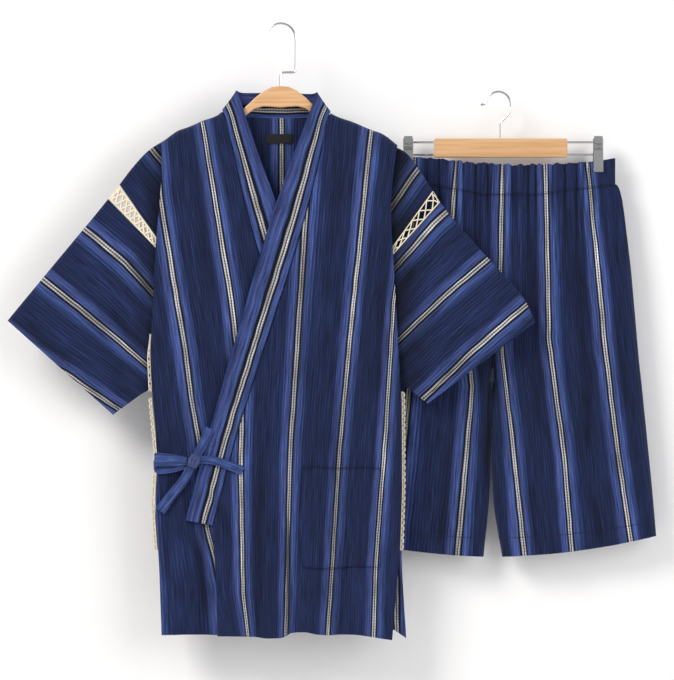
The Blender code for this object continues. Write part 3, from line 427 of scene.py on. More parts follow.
def stripe_map(grid, lines, axes):
    """Metres of cloth across and along the stripes, for each point of a grid. Past its ends a line
    runs straight on, and past the outermost lines the pattern repeats as between the last two."""
    across, along = np.array(axes[0]), np.array(axes[1])
    flat = grid[..., (0, 2)]
    reach, down = flat @ across, flat @ along
    crossed = []
    for number, points in lines:
        points = np.array(points)
        at, place = points @ along, points @ across
        order = np.argsort(at)
        at, place = at[order], place[order]
        line = np.interp(down, at, place)
        before = (place[1] - place[0]) / (at[1] - at[0])
        after = (place[-1] - place[-2]) / (at[-1] - at[-2])
        line = np.where(down < at[0], place[0] + (down - at[0]) * before, line)
        line = np.where(down > at[-1], place[-1] + (down - at[-1]) * after, line)
        crossed.append((number, line))
    repeats = np.zeros(reach.shape)
    for (number, low), (_, high) in zip(crossed, crossed[1:]):
        share = (reach - low) / np.maximum(high - low, 0.01)
        inside = (share >= 0) | (number == crossed[0][0])
        repeats = np.where(inside, number + share, repeats)
    return np.stack([repeats * REPEAT, down], axis=-1)


# %% [markdown]
# ## The finishing of a piece
# One function turns a fine grid into a piece of cloth: a grid primitive of the same number of
# cells is laid on the points, takes the stripe map, gets its wall inwards from the outer face,
# and says which wall it stands for.

# %% cloth piece
FOLD_LIGHT = 190.0         # painted shade: how quickly a trough is painted darker with its depth, a share for each metre
# the darkest painted shade and the brightest painted highlight, as shares of the colour
DARKEST, LIGHTEST = 0.30, 1.30


def in_folds(out, strength=FOLD_LIGHT):
    """Painted shade and highlight: the colour darker in troughs, a little paler on ridges."""
    return np.clip(1.0 + out * strength, DARKEST, LIGHTEST)


WALLS = {"cloth": 0.0016, "band": 0.0030, "tape": 0.0020}


def lay(name, grid, outward, uv=None, hollow=None):
    """A grid primitive whose points are moved to a grid of places, with each point's painted shade stored on
    it.
    """
    rows, columns = grid.shape[0] - 1, grid.shape[1] - 1
    bpy.ops.object.select_all(action="DESELECT")
    bpy.ops.mesh.primitive_grid_add(x_subdivisions=columns, y_subdivisions=rows, size=1)
    obj = bpy.context.object
    obj.name = name
    mesh = obj.data
    mesh.vertices.foreach_set("co", grid.astype(np.float32).reshape(-1))
    if uv is not None:
        corners = np.empty(len(mesh.loops), dtype=np.int32)
        mesh.loops.foreach_get("vertex_index", corners)
        mesh.uv_layers[0].name = "cloth"
        flat = uv.reshape(-1, 2)[corners].astype(np.float32)
        mesh.uv_layers[0].data.foreach_set("uv", flat.reshape(-1))
    shade = np.ones(grid.shape[:2]) if hollow is None else hollow
    # painted shade: each point's share of the cloth's colour, darker in folds and other shaded places
    store = mesh.attributes.new("hollow", "FLOAT", "POINT")
    store.data.foreach_set("value", shade.astype(np.float32).ravel())
    mesh.update()
    if outward:
        mesh.flip_normals()
    mesh.shade_smooth()
    return obj


def thicken(obj, thickness, offset=-1.0):
    """The wall grows inwards from the outer face, or with offset 0 to both sides of the middle."""
    wall = obj.modifiers.new("wall", "SOLIDIFY")
    wall.thickness = thickness
    wall.offset = offset
    bpy.context.view_layer.objects.active = obj
    bpy.ops.object.modifier_apply(modifier=wall.name)
    obj.data.set_sharp_from_angle(angle=math.radians(60))


def stands_for(obj, node):
    """A piece takes a node's place, which is hidden, and its body."""
    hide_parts(node)
    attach(obj, "root")


def finish(obj, node, material, flat):
    """Everything that is said about a piece of cloth."""
    obj.data.materials.clear()
    obj.data.materials.append(material)
    stands_for(obj, node)
    print(obj.name, len(obj.data.polygons), "faces, cut", [round(size * 1000) for size in flat], "mm")


def measured(grid):
    """Width, length and area of a sheet, measured over its middle lines."""
    width = np.linalg.norm(np.diff(grid, axis=1), axis=2).sum(axis=1).max()
    length = np.linalg.norm(np.diff(grid, axis=0), axis=2).sum(axis=0).max()
    cells = np.cross(grid[1:, :-1] - grid[:-1, :-1], grid[:-1, 1:] - grid[:-1, :-1])
    return float(width), float(length), float(np.linalg.norm(cells, axis=2).sum())


# %% [markdown]
# ## Striped cotton
# The cloth's colours are a ramp over one repeat of the warp. Real yarn is uneven: it is thicker in
# places, takes the dye unevenly and lets the weft show, so long thin streaks along the warp lighten and
# darken the ramp. The ribs stand 5 mm apart, crinkled like seersucker, and are relief on the
# finish, as is the weave. The ribs also lighten and darken the colour in step with that relief, as
# painted shade, and each piece's painted fold shade is multiplied in. White cords are broken up into
# stitches along their length.

# %% colours of the cloth
NAVY = (0.0092, 0.0160, 0.0560)
MID_BLUE = (0.0190, 0.0340, 0.1120)
BRIGHT_BLUE = (0.0390, 0.0640, 0.1950)
PLUM_BLUE = (0.0400, 0.0540, 0.1700)
BLACK_GROUND = (0.0022, 0.0028, 0.0085)
WHITE_CORD = (0.50, 0.48, 0.48)
PALE_BLUE = (0.0900, 0.1250, 0.3000)
# where each band of the repeat ends, in millimetres from the middle of the white pair, and its colour
STRIPES = (
    (-20.5, NAVY), (-17.0, MID_BLUE), (-12.0, PLUM_BLUE), (-6.4, BRIGHT_BLUE),
    (-3.2, BLACK_GROUND), (-0.8, WHITE_CORD), (0.8, BLACK_GROUND), (3.2, WHITE_CORD),
    (6.4, BLACK_GROUND), (15.5, BRIGHT_BLUE), (21.5, MID_BLUE), (47.0, NAVY),
)
TAPE_STRIPES = ((-6.4, PALE_BLUE), (-5.4, BRIGHT_BLUE), (-4.7, MID_BLUE), (4.7, BRIGHT_BLUE),
                (5.4, MID_BLUE), (6.4, BRIGHT_BLUE), (47.0, PALE_BLUE))
EDGE_BLUR = 0.45
RIB, FINE_RIB, CORD_STITCH = 0.0050, 0.0017, 0.0042        # how far apart these lie, in metres of cloth
CORD_HALF, WANDER = 0.0034, 0.0022       # half of the white pair's width, and how far its edges stray
CORD_GAPS, TAPE_GAPS = 0.20, 0.04        # how dark it is between a cord's stitches


def joined(tree, kind, *sources, **settings):
    """A node with its settings, fed by sources: sockets or plain values, in socket order."""
    node = tree.nodes.new(kind)
    for name, value in settings.items():
        setattr(node, name, value)
    for place, source in enumerate(sources):
        if source is None:
            continue
        if isinstance(source, bpy.types.NodeSocket):
            tree.links.new(source, node.inputs[place])
        else:
            node.inputs[place].default_value = source
    return node


def maths(tree, operation, *sources):
    return joined(tree, "ShaderNodeMath", *sources, operation=operation).outputs[0]


def ramp(tree, source, stops):
    node = joined(tree, "ShaderNodeValToRGB", source)
    elements = node.color_ramp.elements
    while len(elements) < len(stops):
        elements.new(0.5)
    for element, (place, colour) in zip(elements, stops):
        element.position = place
        element.color = (*colour, 1.0)
    return node.outputs["Color"]


def stripe_stops(bands):
    """The bands as stops of a colour ramp, two to a border, from 0 to 1 over one repeat."""
    millimetres = REPEAT * 1000
    stops = []
    for k, (end, colour) in enumerate(bands):
        begin = bands[k - 1][0] if k else -millimetres / 2
        if stops and stops[-1][1] == colour:
            stops.pop()
        else:
            stops.append((begin + EDGE_BLUR, colour))
        stops.append((end - EDGE_BLUR, colour))
    return [((place + millimetres / 2) / millimetres, colour) for place, colour in stops]


def striped_cotton(name, bands):
    """The woven stripes of a ramp, broken up by uneven yarn, weft and the cords' stitches, with painted
    shade of ribs and folds.
    """
    made = bpy.data.materials.new(name)
    made.use_nodes = True
    tree = made.node_tree
    shader = tree.nodes["Principled BSDF"]
    place = joined(tree, "ShaderNodeUVMap", uv_map="cloth").outputs[0]
    split = joined(tree, "ShaderNodeSeparateXYZ", place)
    across, along = split.outputs[0], split.outputs[1]
    wander = joined(tree, "ShaderNodeTexNoise", place, noise_dimensions="2D")
    wander.inputs["Scale"].default_value = 22.0
    drift = maths(tree, "MULTIPLY", maths(tree, "SUBTRACT", wander.outputs[0], 0.5), WANDER)
    across = maths(tree, "ADD", across, drift)
    wrapped = maths(tree, "FLOORED_MODULO", maths(tree, "ADD", across, REPEAT / 2), REPEAT)
    colour = ramp(tree, maths(tree, "DIVIDE", wrapped, REPEAT), stripe_stops(bands))

    def streaks(fine, long, detail):
        stretched = joined(tree, "ShaderNodeCombineXYZ", maths(tree, "MULTIPLY", across, fine),
                           maths(tree, "MULTIPLY", along, long))
        noise = joined(tree, "ShaderNodeTexNoise", stretched.outputs[0], noise_dimensions="2D")
        noise.inputs["Scale"].default_value = 1.0
        noise.inputs["Detail"].default_value = detail
        return noise.outputs[0]

    yarn = streaks(520.0, 22.0, 2.0)
    slub = streaks(120.0, 7.0, 1.0)
    tone_and_shade = maths(tree, "MULTIPLY_ADD", yarn, 2.1, -0.07)
    tone_and_shade = maths(tree, "MULTIPLY", tone_and_shade, maths(tree, "MULTIPLY_ADD", slub, 0.7, 0.65))
    weft = streaks(260.0, 900.0, 1.0)
    tone_and_shade = maths(tree, "MULTIPLY", tone_and_shade, maths(tree, "MULTIPLY_ADD", weft, 0.5, 0.75))
    rib = maths(tree, "SINE", maths(tree, "MULTIPLY", across, 2 * math.pi / RIB))
    # painted shade: the ribs lighten and darken the colour in step with their relief
    tone_and_shade = maths(tree, "MULTIPLY", tone_and_shade, maths(tree, "MULTIPLY_ADD", rib, 0.20, 1.0))
    off_pair = maths(tree, "ABSOLUTE", maths(tree, "SUBTRACT", wrapped, REPEAT / 2))
    on_cord = maths(tree, "LESS_THAN", off_pair, CORD_HALF)
    dots = maths(tree, "SINE", maths(tree, "MULTIPLY", along, 2 * math.pi / CORD_STITCH))
    depth = CORD_GAPS if bands is STRIPES else TAPE_GAPS
    gap = maths(tree, "MULTIPLY", on_cord, maths(tree, "MULTIPLY_ADD", dots, depth, depth))
    tone_and_shade = maths(tree, "MULTIPLY", tone_and_shade, maths(tree, "SUBTRACT", 1.0, gap))
    # painted shade: the piece's stored fold and edge shade darkens the colour
    hollow = joined(tree, "ShaderNodeAttribute", attribute_name="hollow")
    tone_and_shade = maths(tree, "MULTIPLY", tone_and_shade, hollow.outputs["Fac"])
    shaded = joined(tree, "ShaderNodeVectorMath", colour, tone_and_shade, operation="SCALE")
    tree.links.new(tone_and_shade, shaded.inputs["Scale"])
    tree.links.new(shaded.outputs[0], shader.inputs["Base Color"])
    shader.inputs["Roughness"].default_value = 0.88
    shader.inputs["Specular IOR Level"].default_value = 0.18
    shader.inputs["Sheen Weight"].default_value = 0.10
    shader.inputs["Sheen Roughness"].default_value = 0.5
    shader.inputs["Sheen Tint"].default_value = (0.45, 0.55, 0.95, 1.0)

    crinkle = streaks(200.0, 40.0, 2.0)
    height = maths(tree, "MULTIPLY", rib, maths(tree, "MULTIPLY_ADD", crinkle, 1.6, -0.2))
    fine_rib = maths(tree, "SINE", maths(tree, "MULTIPLY", across, 2 * math.pi / FINE_RIB))
    height = maths(tree, "MULTIPLY_ADD", fine_rib, 0.25, height)
    height = maths(tree, "ADD", height, maths(tree, "MULTIPLY", weft, 0.8))
    relief = joined(tree, "ShaderNodeBump", 0.75, 0.0008)
    tree.links.new(height, relief.inputs["Height"])
    tree.links.new(relief.outputs[0], shader.inputs["Normal"])
    return made


cotton = striped_cotton("indigo striped cotton", STRIPES)
print("stops in the stripe ramp:", len(stripe_stops(STRIPES)))

# %% [markdown]
# ## The two fronts and the back
# The over front crosses to the wearer's right and carries the pocket. The under front shows only
# on the left. Both are 12 cm or so narrower at the neck than at the hem, because the band's seam
# runs down them at a slant. The back is one panel with the neck curve cut into its top.

# %% fronts and back
FRONT, BACK = (0, -1, 0), (0, 1, 0)
PANEL_FINE = 8
RIM_REACH, MOUTH_REACH = 0.0020, 0.0024        # how wide the shade is along a patch's edges
HANGER_ENDS = (-0.146, 0.143)
DROOP, DROOP_RUN = 0.0062, 0.030               # how far a corner sinks, and over what width
DROOP_FROM, DROOP_RISE = -0.250, 0.070         # where the sinking begins, and over what height
NECK_MIDDLE, NECK_HALF, NECK_TUCK = -0.006, 0.070, 0.0030
SEAM_REACH = 0.040


def push(grid, outward, out):
    """Move points along the sheet's normals: towards the outer face is positive."""
    normals = grid_normals(grid) * (1.0 if outward else -1.0)
    return grid + normals * out[..., None]


def arc(grid, axis):
    """Distance along each line of a grid from where it starts."""
    steps = np.linalg.norm(np.diff(grid, axis=axis), axis=2)
    start = np.zeros_like(np.take(steps, [0], axis=axis))
    return np.concatenate([start, np.cumsum(steps, axis=axis)], axis=axis)


def rim_shade(grid, mouth, rest):
    """Painted shade: a patch is darkest at its mouth and a little dark along its other edges, where they are
    sewn down.
    """
    down, across = arc(grid, 0), arc(grid, 1)
    sides = (across, across[:, -1:] - across, down[-1:] - down)
    near = sum(np.exp(-(away / RIM_REACH) ** 2) for away in sides)
    return (1 - mouth * np.exp(-(down / MOUTH_REACH) ** 2)) * (1 - rest * np.clip(near, 0, 1))


def droop(x, z):
    """The cloth's top corners sink where it leaves the ends of the hanger."""
    past = np.maximum(HANGER_ENDS[0] - x, x - HANGER_ENDS[1]) / DROOP_RUN
    return DROOP * ease(past) * np.clip((z - DROOP_FROM) / DROOP_RISE, 0, 1)


def sew_back(grid):
    """The back's shoulders end in the fronts' seams, and its neck edge inside the band."""
    seams = np.concatenate([under_grid[0], over_grid[0]])
    rise = np.interp(grid[0, :, 0], seams[:, 0], seams[:, 2]) - grid[0, :, 2]
    from_neck = np.abs(grid[..., 0] - NECK_MIDDLE) - NECK_HALF
    at_seam = np.clip(1 - (grid[0, :, 2] - grid[..., 2]) / SEAM_REACH, 0, 1)
    grid[..., 2] += rise * at_seam * np.clip((from_neck - 0.004) / 0.006, 0, 1)
    at_neck = np.clip((grid[..., 2] + 0.160) / 0.012, 0, 1)
    grid[..., 2] += NECK_TUCK * at_neck * np.clip(-from_neck / 0.012, 0, 1)


def panel(node, columns, first, last, facing, table, lines, rims=None):
    """A flat piece: its wall's outer face made fine, creased, mapped and given its thickness."""
    rough, outward = wall_rows(node, columns, first, last, facing)
    grid = fine_grid(rough, PANEL_FINE, PANEL_FINE)
    grid[..., 2] -= droop(grid[..., 0], grid[..., 2])
    if facing is BACK:
        sew_back(grid)
    out = creases(grid, table)
    uv = stripe_map(grid, lines, DOWN_THE_BODY)
    grid = grid + np.array(facing) * out[..., None]
    shade = rim_shade(grid, *rims) if rims else 1.0
    obj = lay(node + "_cloth", grid, outward, uv, in_folds(out) * shade)
    thicken(obj, WALLS["cloth"])
    width, length, area = measured(rough)
    finish(obj, node, cotton, (width, length))
    return grid


over_grid = panel("front_over", 14, (0.0736, -0.0018, -0.1358), (0.1725, -0.0018, -0.1770), FRONT,
                  CREASE_FRONT, LINES_OVER)
under_grid = panel("front_under", 12, (-0.1760, -0.0018, -0.1725), (-0.0856, -0.0018, -0.1334), FRONT,
                   CREASE_FRONT, LINES_UNDER)
back_grid = panel("back_panel", 16, (-0.1760, 0.0018, -0.1725), (0.1725, 0.0018, -0.1770), BACK,
                  CREASE_BACK, LINES_BACK)

# %% [markdown]
# ## Collar band and pocket
# The band is a long double strip that runs from the hidden under end, up round the neck and down
# to the tie. Its own stripe runs lengthwise: blue at the free edge, then a white pair in black, then
# blue again at the seam. So its map comes from the distance across the band, not from the front.

# %% collar band
BAND_WIDTH = 0.044
BAND_ACROSS = (0.0, 0.0195, 0.0262, 0.0328, 0.0368, 0.0440)
BAND_STRIPE = (-0.0205, -0.0072, -0.0033, 0.0033, 0.0072, 0.0140)
BAND_FRONT, BAND_TURN = 0.0065, 0.0040        # how far forward the band takes the fronts' creases

rough, outward = wall_rows("collar_band", 56, (0.1270, -0.0200, -0.7380), (-0.1410, -0.0200, -0.7380), FRONT)
band_grid = fine_grid(rough, PANEL_FINE, PANEL_FINE)
in_front = np.clip((-band_grid[..., 1] - BAND_FRONT) / BAND_TURN, 0, 1)
band_grid[..., 1] -= creases(band_grid, CREASE_FRONT) * in_front
from_free_edge = np.linspace(0, BAND_WIDTH, band_grid.shape[0])[:, None] * np.ones(band_grid.shape[1])
band_uv = np.stack([np.interp(from_free_edge, BAND_ACROSS, BAND_STRIPE), arc(band_grid, 1)], axis=-1)
band = lay("collar_band_cloth", band_grid, outward, band_uv)
thicken(band, WALLS["band"])
length, width, area = measured(rough)
finish(band, "collar_band", cotton, (width, length))

# %% pocket
POCKET_SHADE = (0.70, 0.40)        # at its mouth, and along its sewn edges
pocket_grid = panel("pocket", 12, (0.0330, -0.0240, -0.6600), (0.1485, -0.0240, -0.6610), FRONT,
                    CREASE_FRONT, LINES_OVER, POCKET_SHADE)

# %% [markdown]
# ## Pieces worked out afresh
# The arms, the shorts, the lace and the ties are laid out from short tables of stations, and the
# same tables are read here as finely as the cloth needs. These grids are the middle of the
# wall, so it grows to both sides. A station of an arm gives its top fold, the point straight across
# the cloth from it and half the depth there. A station of a leg gives its inner edge, its outer
# edge, half its depth, how far its inner side is closed and how far it keeps from the other leg.

# %% stations
SEAM = 0.0004
HALF_SEAM = 0.0010
ARM_PLANE = -0.0012
ARM_LEFT = (
    # top x,   z,       low x,   z,      half depth
    (-0.1715, -0.1745, -0.1680, -0.3180, 0.0042),
    (-0.1935, -0.1882, -0.1690, -0.3225, 0.0044),
    (-0.2180, -0.2135, -0.1715, -0.3280, 0.0046),
    (-0.2390, -0.2407, -0.1745, -0.3330, 0.0050),
    (-0.2555, -0.2617, -0.1745, -0.3450, 0.0050),
    (-0.3060, -0.3230, -0.1745, -0.4350, 0.0062),
    (-0.3580, -0.3856, -0.1760, -0.5270, 0.0072),
    (-0.3830, -0.4158, -0.2120, -0.5550, 0.0072),
    (-0.4050, -0.4425, -0.2490, -0.5820, 0.0068),
)
ARM_RIGHT = (
    (0.1670, -0.1830, 0.1510, -0.3350, 0.0042),
    (0.1850, -0.1925, 0.1515, -0.3410, 0.0044),
    (0.2065, -0.2200, 0.1520, -0.3470, 0.0046),
    (0.2257, -0.2490, 0.1520, -0.3525, 0.0050),
    (0.2377, -0.2670, 0.1520, -0.3612, 0.0050),
    (0.2880, -0.3275, 0.1520, -0.4450, 0.0062),
    (0.3360, -0.3805, 0.1550, -0.5165, 0.0072),
    (0.3640, -0.4140, 0.1890, -0.5420, 0.0072),
    (0.3780, -0.4450, 0.2190, -0.5655, 0.0068),
)
LACE_START, LACE_END, UNDERARM, CUFF = 3, 4, 6, 8        # stations
CLOSE_FROM = 0.55          # the share of an arm's width at which it begins to thin
SHORTS_PLANE, SHORTS_CENTRE = 0.047, 0.336
WAIST_PINCH, WAIST_DEPTH = 0.0030, 0.0110
WAIST_FLAT, WAIST_SWELL = 0.028, 0.075        # from its ends: how far it is pinched, then swells
WAIST_TOP = ((0.1755, -0.1945), (0.2400, -0.2010), (0.2820, -0.2060), (0.3555, -0.2100),
             (0.4374, -0.2070), (0.4785, -0.2025), (0.4990, -0.1990))
WAIST_SEAM = ((0.1755, -0.2350), (0.2190, -0.2385), (0.2650, -0.2460), (0.3015, -0.2535),
              (0.3885, -0.2535), (0.4215, -0.2475), (0.4990, -0.2395))
LEG_RIGHT = (
    # inner x, z,       outer x, z,       depth, closed, apart
    (0.3360, -0.2545, 0.4990, -0.2405, 0.0110, 0.0, 0.0002),
    (0.3340, -0.2900, 0.5105, -0.2780, 0.0125, 0.0, 0.0002),
    (0.3300, -0.3500, 0.5205, -0.3420, 0.0145, 0.0, 0.0002),
    (0.3240, -0.4300, 0.5285, -0.4250, 0.0160, 0.0, 0.0002),
    (0.3180, -0.5100, 0.5355, -0.5050, 0.0165, 0.0, 0.0010),
    (0.3155, -0.5500, 0.5400, -0.5450, 0.0165, 1.0, 0.0014),
    (0.3150, -0.6300, 0.5475, -0.6200, 0.0165, 1.0, 0.0014),
    (0.3165, -0.7050, 0.5545, -0.6900, 0.0165, 1.0, 0.0020),
    (0.3300, -0.7950, 0.5610, -0.7640, 0.0160, 1.0, 0.0020),
)
LEG_LEFT = (
    (0.3360, -0.2545, 0.1755, -0.2365, 0.0110, 0.0, 0.0002),
    (0.3340, -0.2900, 0.1620, -0.2780, 0.0125, 0.0, 0.0002),
    (0.3300, -0.3500, 0.1500, -0.3420, 0.0145, 0.0, 0.0002),
    (0.3240, -0.4300, 0.1380, -0.4250, 0.0160, 0.0, 0.0002),
    (0.3180, -0.5100, 0.1270, -0.5050, 0.0165, 0.0, 0.0010),
    (0.3155, -0.5500, 0.1210, -0.5450, 0.0165, 1.0, 0.0014),
    (0.3150, -0.6300, 0.1090, -0.6200, 0.0165, 1.0, 0.0014),
    (0.3130, -0.7050, 0.0975, -0.6900, 0.0165, 1.0, 0.0020),
    (0.3045, -0.7950, 0.0820, -0.7640, 0.0160, 1.0, 0.0020),
)
LEG_FOLDS = (
    # x waist, x hem,  z top, half width, forward
    (0.220, 0.190, -0.260, 0.018, 0.0030),
    (0.280, 0.262, -0.250, 0.016, 0.0034),
    (0.372, 0.400, -0.250, 0.016, 0.0036),
    (0.412, 0.448, -0.260, 0.014, -0.0026),
    (0.450, 0.500, -0.250, 0.018, 0.0034),
)
LEG_ROUND, HEM_SAG, SHORTS_HEM = 0.022, 0.006, -0.780
WAIST_TUCK = 0.0010        # the legs' tops end inside the waistband's wall
CROTCH = (4.0, 5.0)        # the two stations between which a leg's inner side closes
LEG_STATIONS, LEG_ROWS = 8, 10.0
GROW_FROM, GROW_OVER = -0.250, 0.100          # where a leg's depth begins to grow, and over what height
STATION_STEPS = 12


def level(points, at):
    places, heights = np.array(sorted(points)).T
    return np.interp(at, places, heights)


def stations(table, first, last, rows):
    """Rows of a table read evenly from one station to another, on smooth curves between them."""
    table = np.array(table)
    fine = finer(table[:, None, :], STATION_STEPS)[:, 0]
    at = np.linspace(first, last, rows + 1)
    return at, [np.interp(at * STATION_STEPS, np.arange(len(fine)), column) for column in fine.T]


def looks_out(grid, plane):
    """Whether a tube's grid has its normals outwards, away from its middle plane."""
    return float((grid_normals(grid)[..., 1] * np.sign(grid[..., 1] - plane)).sum()) > 0


# %% [markdown]
# ## Arms
# Each arm is one flat tube, folded along its top. Nearest the neck it is the body's own cloth, which
# falls off the end of the hanger; then comes the lace; then the sleeve, whose stripes run round the
# arm. Towards the underarm the tube thins to two layers that touch.

# %% sleeves and falls
BODY_EDGE, BODY_SHADE, BODY_DARK = 0.165, 0.062, 0.22        # the body keeps light off the arms near it
ARM_ROOM = 0.0030          # the gap between its layers at which an arm creases fully
CREASE_FROM, CREASE_OVER, CREASE_LEAST = 0.176, 0.020, 0.25        # and how far from the body


def arm_grid(table, first, last, rows, flat=44, bend=18):
    """Each row runs from the front's low edge over the top fold to the back's low edge."""
    at, (top_x, top_z, low_x, low_z, depth) = stations(table, first, last, rows)
    width = np.hypot(low_x - top_x, low_z - top_z)
    along_x, along_z = (low_x - top_x) / width, (low_z - top_z) / width
    turn = 1 if top_x[0] > 0 else -1
    shift = np.zeros(rows + 1)
    shift[0] = -SEAM if first > 0 else 0.0
    shift[-1] = SEAM if last < CUFF else 0.0
    top_x, top_z = top_x + along_z * turn * shift, top_z - along_x * turn * shift
    closed = ease(at - UNDERARM + 1)
    lines = []
    for side, parts in ((-1, np.arange(flat) / flat), (0, np.arange(bend + 1) / bend),
                        (1, np.arange(1, flat + 1) / flat)):
        for part in parts:
            if side == 0:
                down = depth * (1 - math.sin(math.pi * part))
                y = -depth * math.cos(math.pi * part)
            else:
                down = width + (depth - width) * (part if side < 0 else 1 - part)
                narrow = ease((down / width - CLOSE_FROM) / (1 - CLOSE_FROM)) * closed
                y = side * (depth + (HALF_SEAM - depth) * narrow)
            lines.append(np.stack([top_x + along_x * down, ARM_PLANE + y, top_z + along_z * down], axis=-1))
    return np.stack(lines, axis=1)


def arm_piece(node, table, first, last, rows, lines, axes):
    """A stretch of an arm. Creases die out where its two layers touch and against the body."""
    grid = arm_grid(table, first, last, rows)
    outward = looks_out(grid, ARM_PLANE)
    width, length, area = measured(grid)
    room = np.clip((np.abs(grid[..., 1] - ARM_PLANE) - HALF_SEAM) / ARM_ROOM, 0, 1)
    clear = np.clip((np.abs(grid[..., 0]) - CREASE_FROM) / CREASE_OVER, CREASE_LEAST, 1)
    out = creases(grid, CREASE_ARMS) * room * clear
    uv = stripe_map(grid, lines, axes)
    # painted shade: arms are painted darker near the body, which keeps light off them there
    open_air = ease((np.abs(grid[..., 0]) - BODY_EDGE) / BODY_SHADE)
    grid = push(grid, outward, out)
    shade = in_folds(out) * (BODY_DARK + (1 - BODY_DARK) * open_air)
    obj = lay(node + "_cloth", grid, outward, uv, shade)
    thicken(obj, WALLS["cloth"], 0.0)
    finish(obj, node, cotton, (width, length))
    return grid


arm_piece("shoulder_fall_left", ARM_LEFT, 0, LACE_START, 26, LINES_FALL_LEFT, OUT_LEFT_ARM)
arm_piece("shoulder_fall_right", ARM_RIGHT, 0, LACE_START, 26, LINES_FALL_RIGHT, OUT_RIGHT_ARM)
sleeve_left = arm_piece("sleeve_left", ARM_LEFT, LACE_END, CUFF, 72, LINES_SLEEVE_LEFT, OUT_LEFT_ARM)
sleeve_right = arm_piece("sleeve_right", ARM_RIGHT, LACE_END, CUFF, 72, LINES_SLEEVE_RIGHT, OUT_RIGHT_ARM)

# %% [markdown]
# ## Shorts
# The waistband is a tube over elastic, which pulls it into small upright gathers that run on
# below its seam and die out down the leg. The gathers are one uneven ripple across the width,
# shared by the band and both legs. Each leg is a sheet that goes round from its inside edge.

# %% waistband and legs
GATHER_BAND, GATHER_LEG = 0.0017, 0.0019
GATHER_TOP, GATHER_REACH = -0.2450, 0.145
LEG_ROOM = 0.0060          # the gap between its layers at which a leg creases fully
# painted shade: how strongly the gathers' troughs are painted darker and ridges paler, and how dark and wide
# the shade along the waist seam is
GATHER_LIGHT, SEAM_SHADE, SEAM_WIDE = 330.0, 0.45, 0.0022
CLIPPED, CLIPPED_LOW = (0.200, 0.466), -0.262        # beyond these the clips hold the band flat


def waist_depth(x):
    inwards = np.minimum(x - WAIST_TOP[0][0], WAIST_TOP[-1][0] - x)
    return WAIST_PINCH + (WAIST_DEPTH - WAIST_PINCH) * ease((inwards - WAIST_FLAT) / WAIST_SWELL)


def gathers(grid):
    """Uneven upright ripples, full at the waistband and gone below the hip."""
    x, z = grid[..., 0], grid[..., 2]
    side = np.where(grid[..., 1] < SHORTS_PLANE, 0.0, 1.7)        # the back's ripples are other ones
    coarse = np.sin(x * 430 + 1.6 * np.sin(x * 97 + side) + side + z * 6)
    fine = 0.6 * np.sin(x * 701 + 2 * side - z * 9)
    down = np.clip((GATHER_TOP - z) / GATHER_REACH, 0, 1)
    return (coarse + fine) * (1 - down) ** 1.6


def waist_grid(rows, flat=220, bend=10):
    """A ring with its seam at the centre back: half the back, an end, the front, an end, the rest."""
    left, right = WAIST_TOP[0][0] + WAIST_PINCH, WAIST_TOP[-1][0] - WAIST_PINCH
    middle, turn = SHORTS_CENTRE, np.linspace(0, math.pi, bend + 1)
    half = np.linspace(0, 1, flat // 2 + 1)
    x = np.concatenate([middle + SEAM / 2 + (right - middle) * half[:-1], np.full(bend + 1, right),
                        np.linspace(right, left, flat + 1)[1:-1], np.full(bend + 1, left),
                        left + (middle - SEAM / 2 - left) * half[1:]])
    ahead = np.ones(flat // 2)
    facing = np.concatenate([ahead, np.cos(turn), -np.ones(flat - 1), -np.cos(turn), ahead])
    out = np.concatenate([0 * ahead, np.sin(turn), np.zeros(flat - 1), -np.sin(turn), 0 * ahead])
    depth, x = waist_depth(x), x + out * WAIST_PINCH
    down = np.linspace(0, 1, rows + 1)[:, None]
    z = level(WAIST_TOP, x) * (1 - down) + level(WAIST_SEAM, x) * down
    y = np.broadcast_to(SHORTS_PLANE + facing * depth, z.shape)
    return np.stack([np.broadcast_to(x, z.shape), y, z], axis=-1)


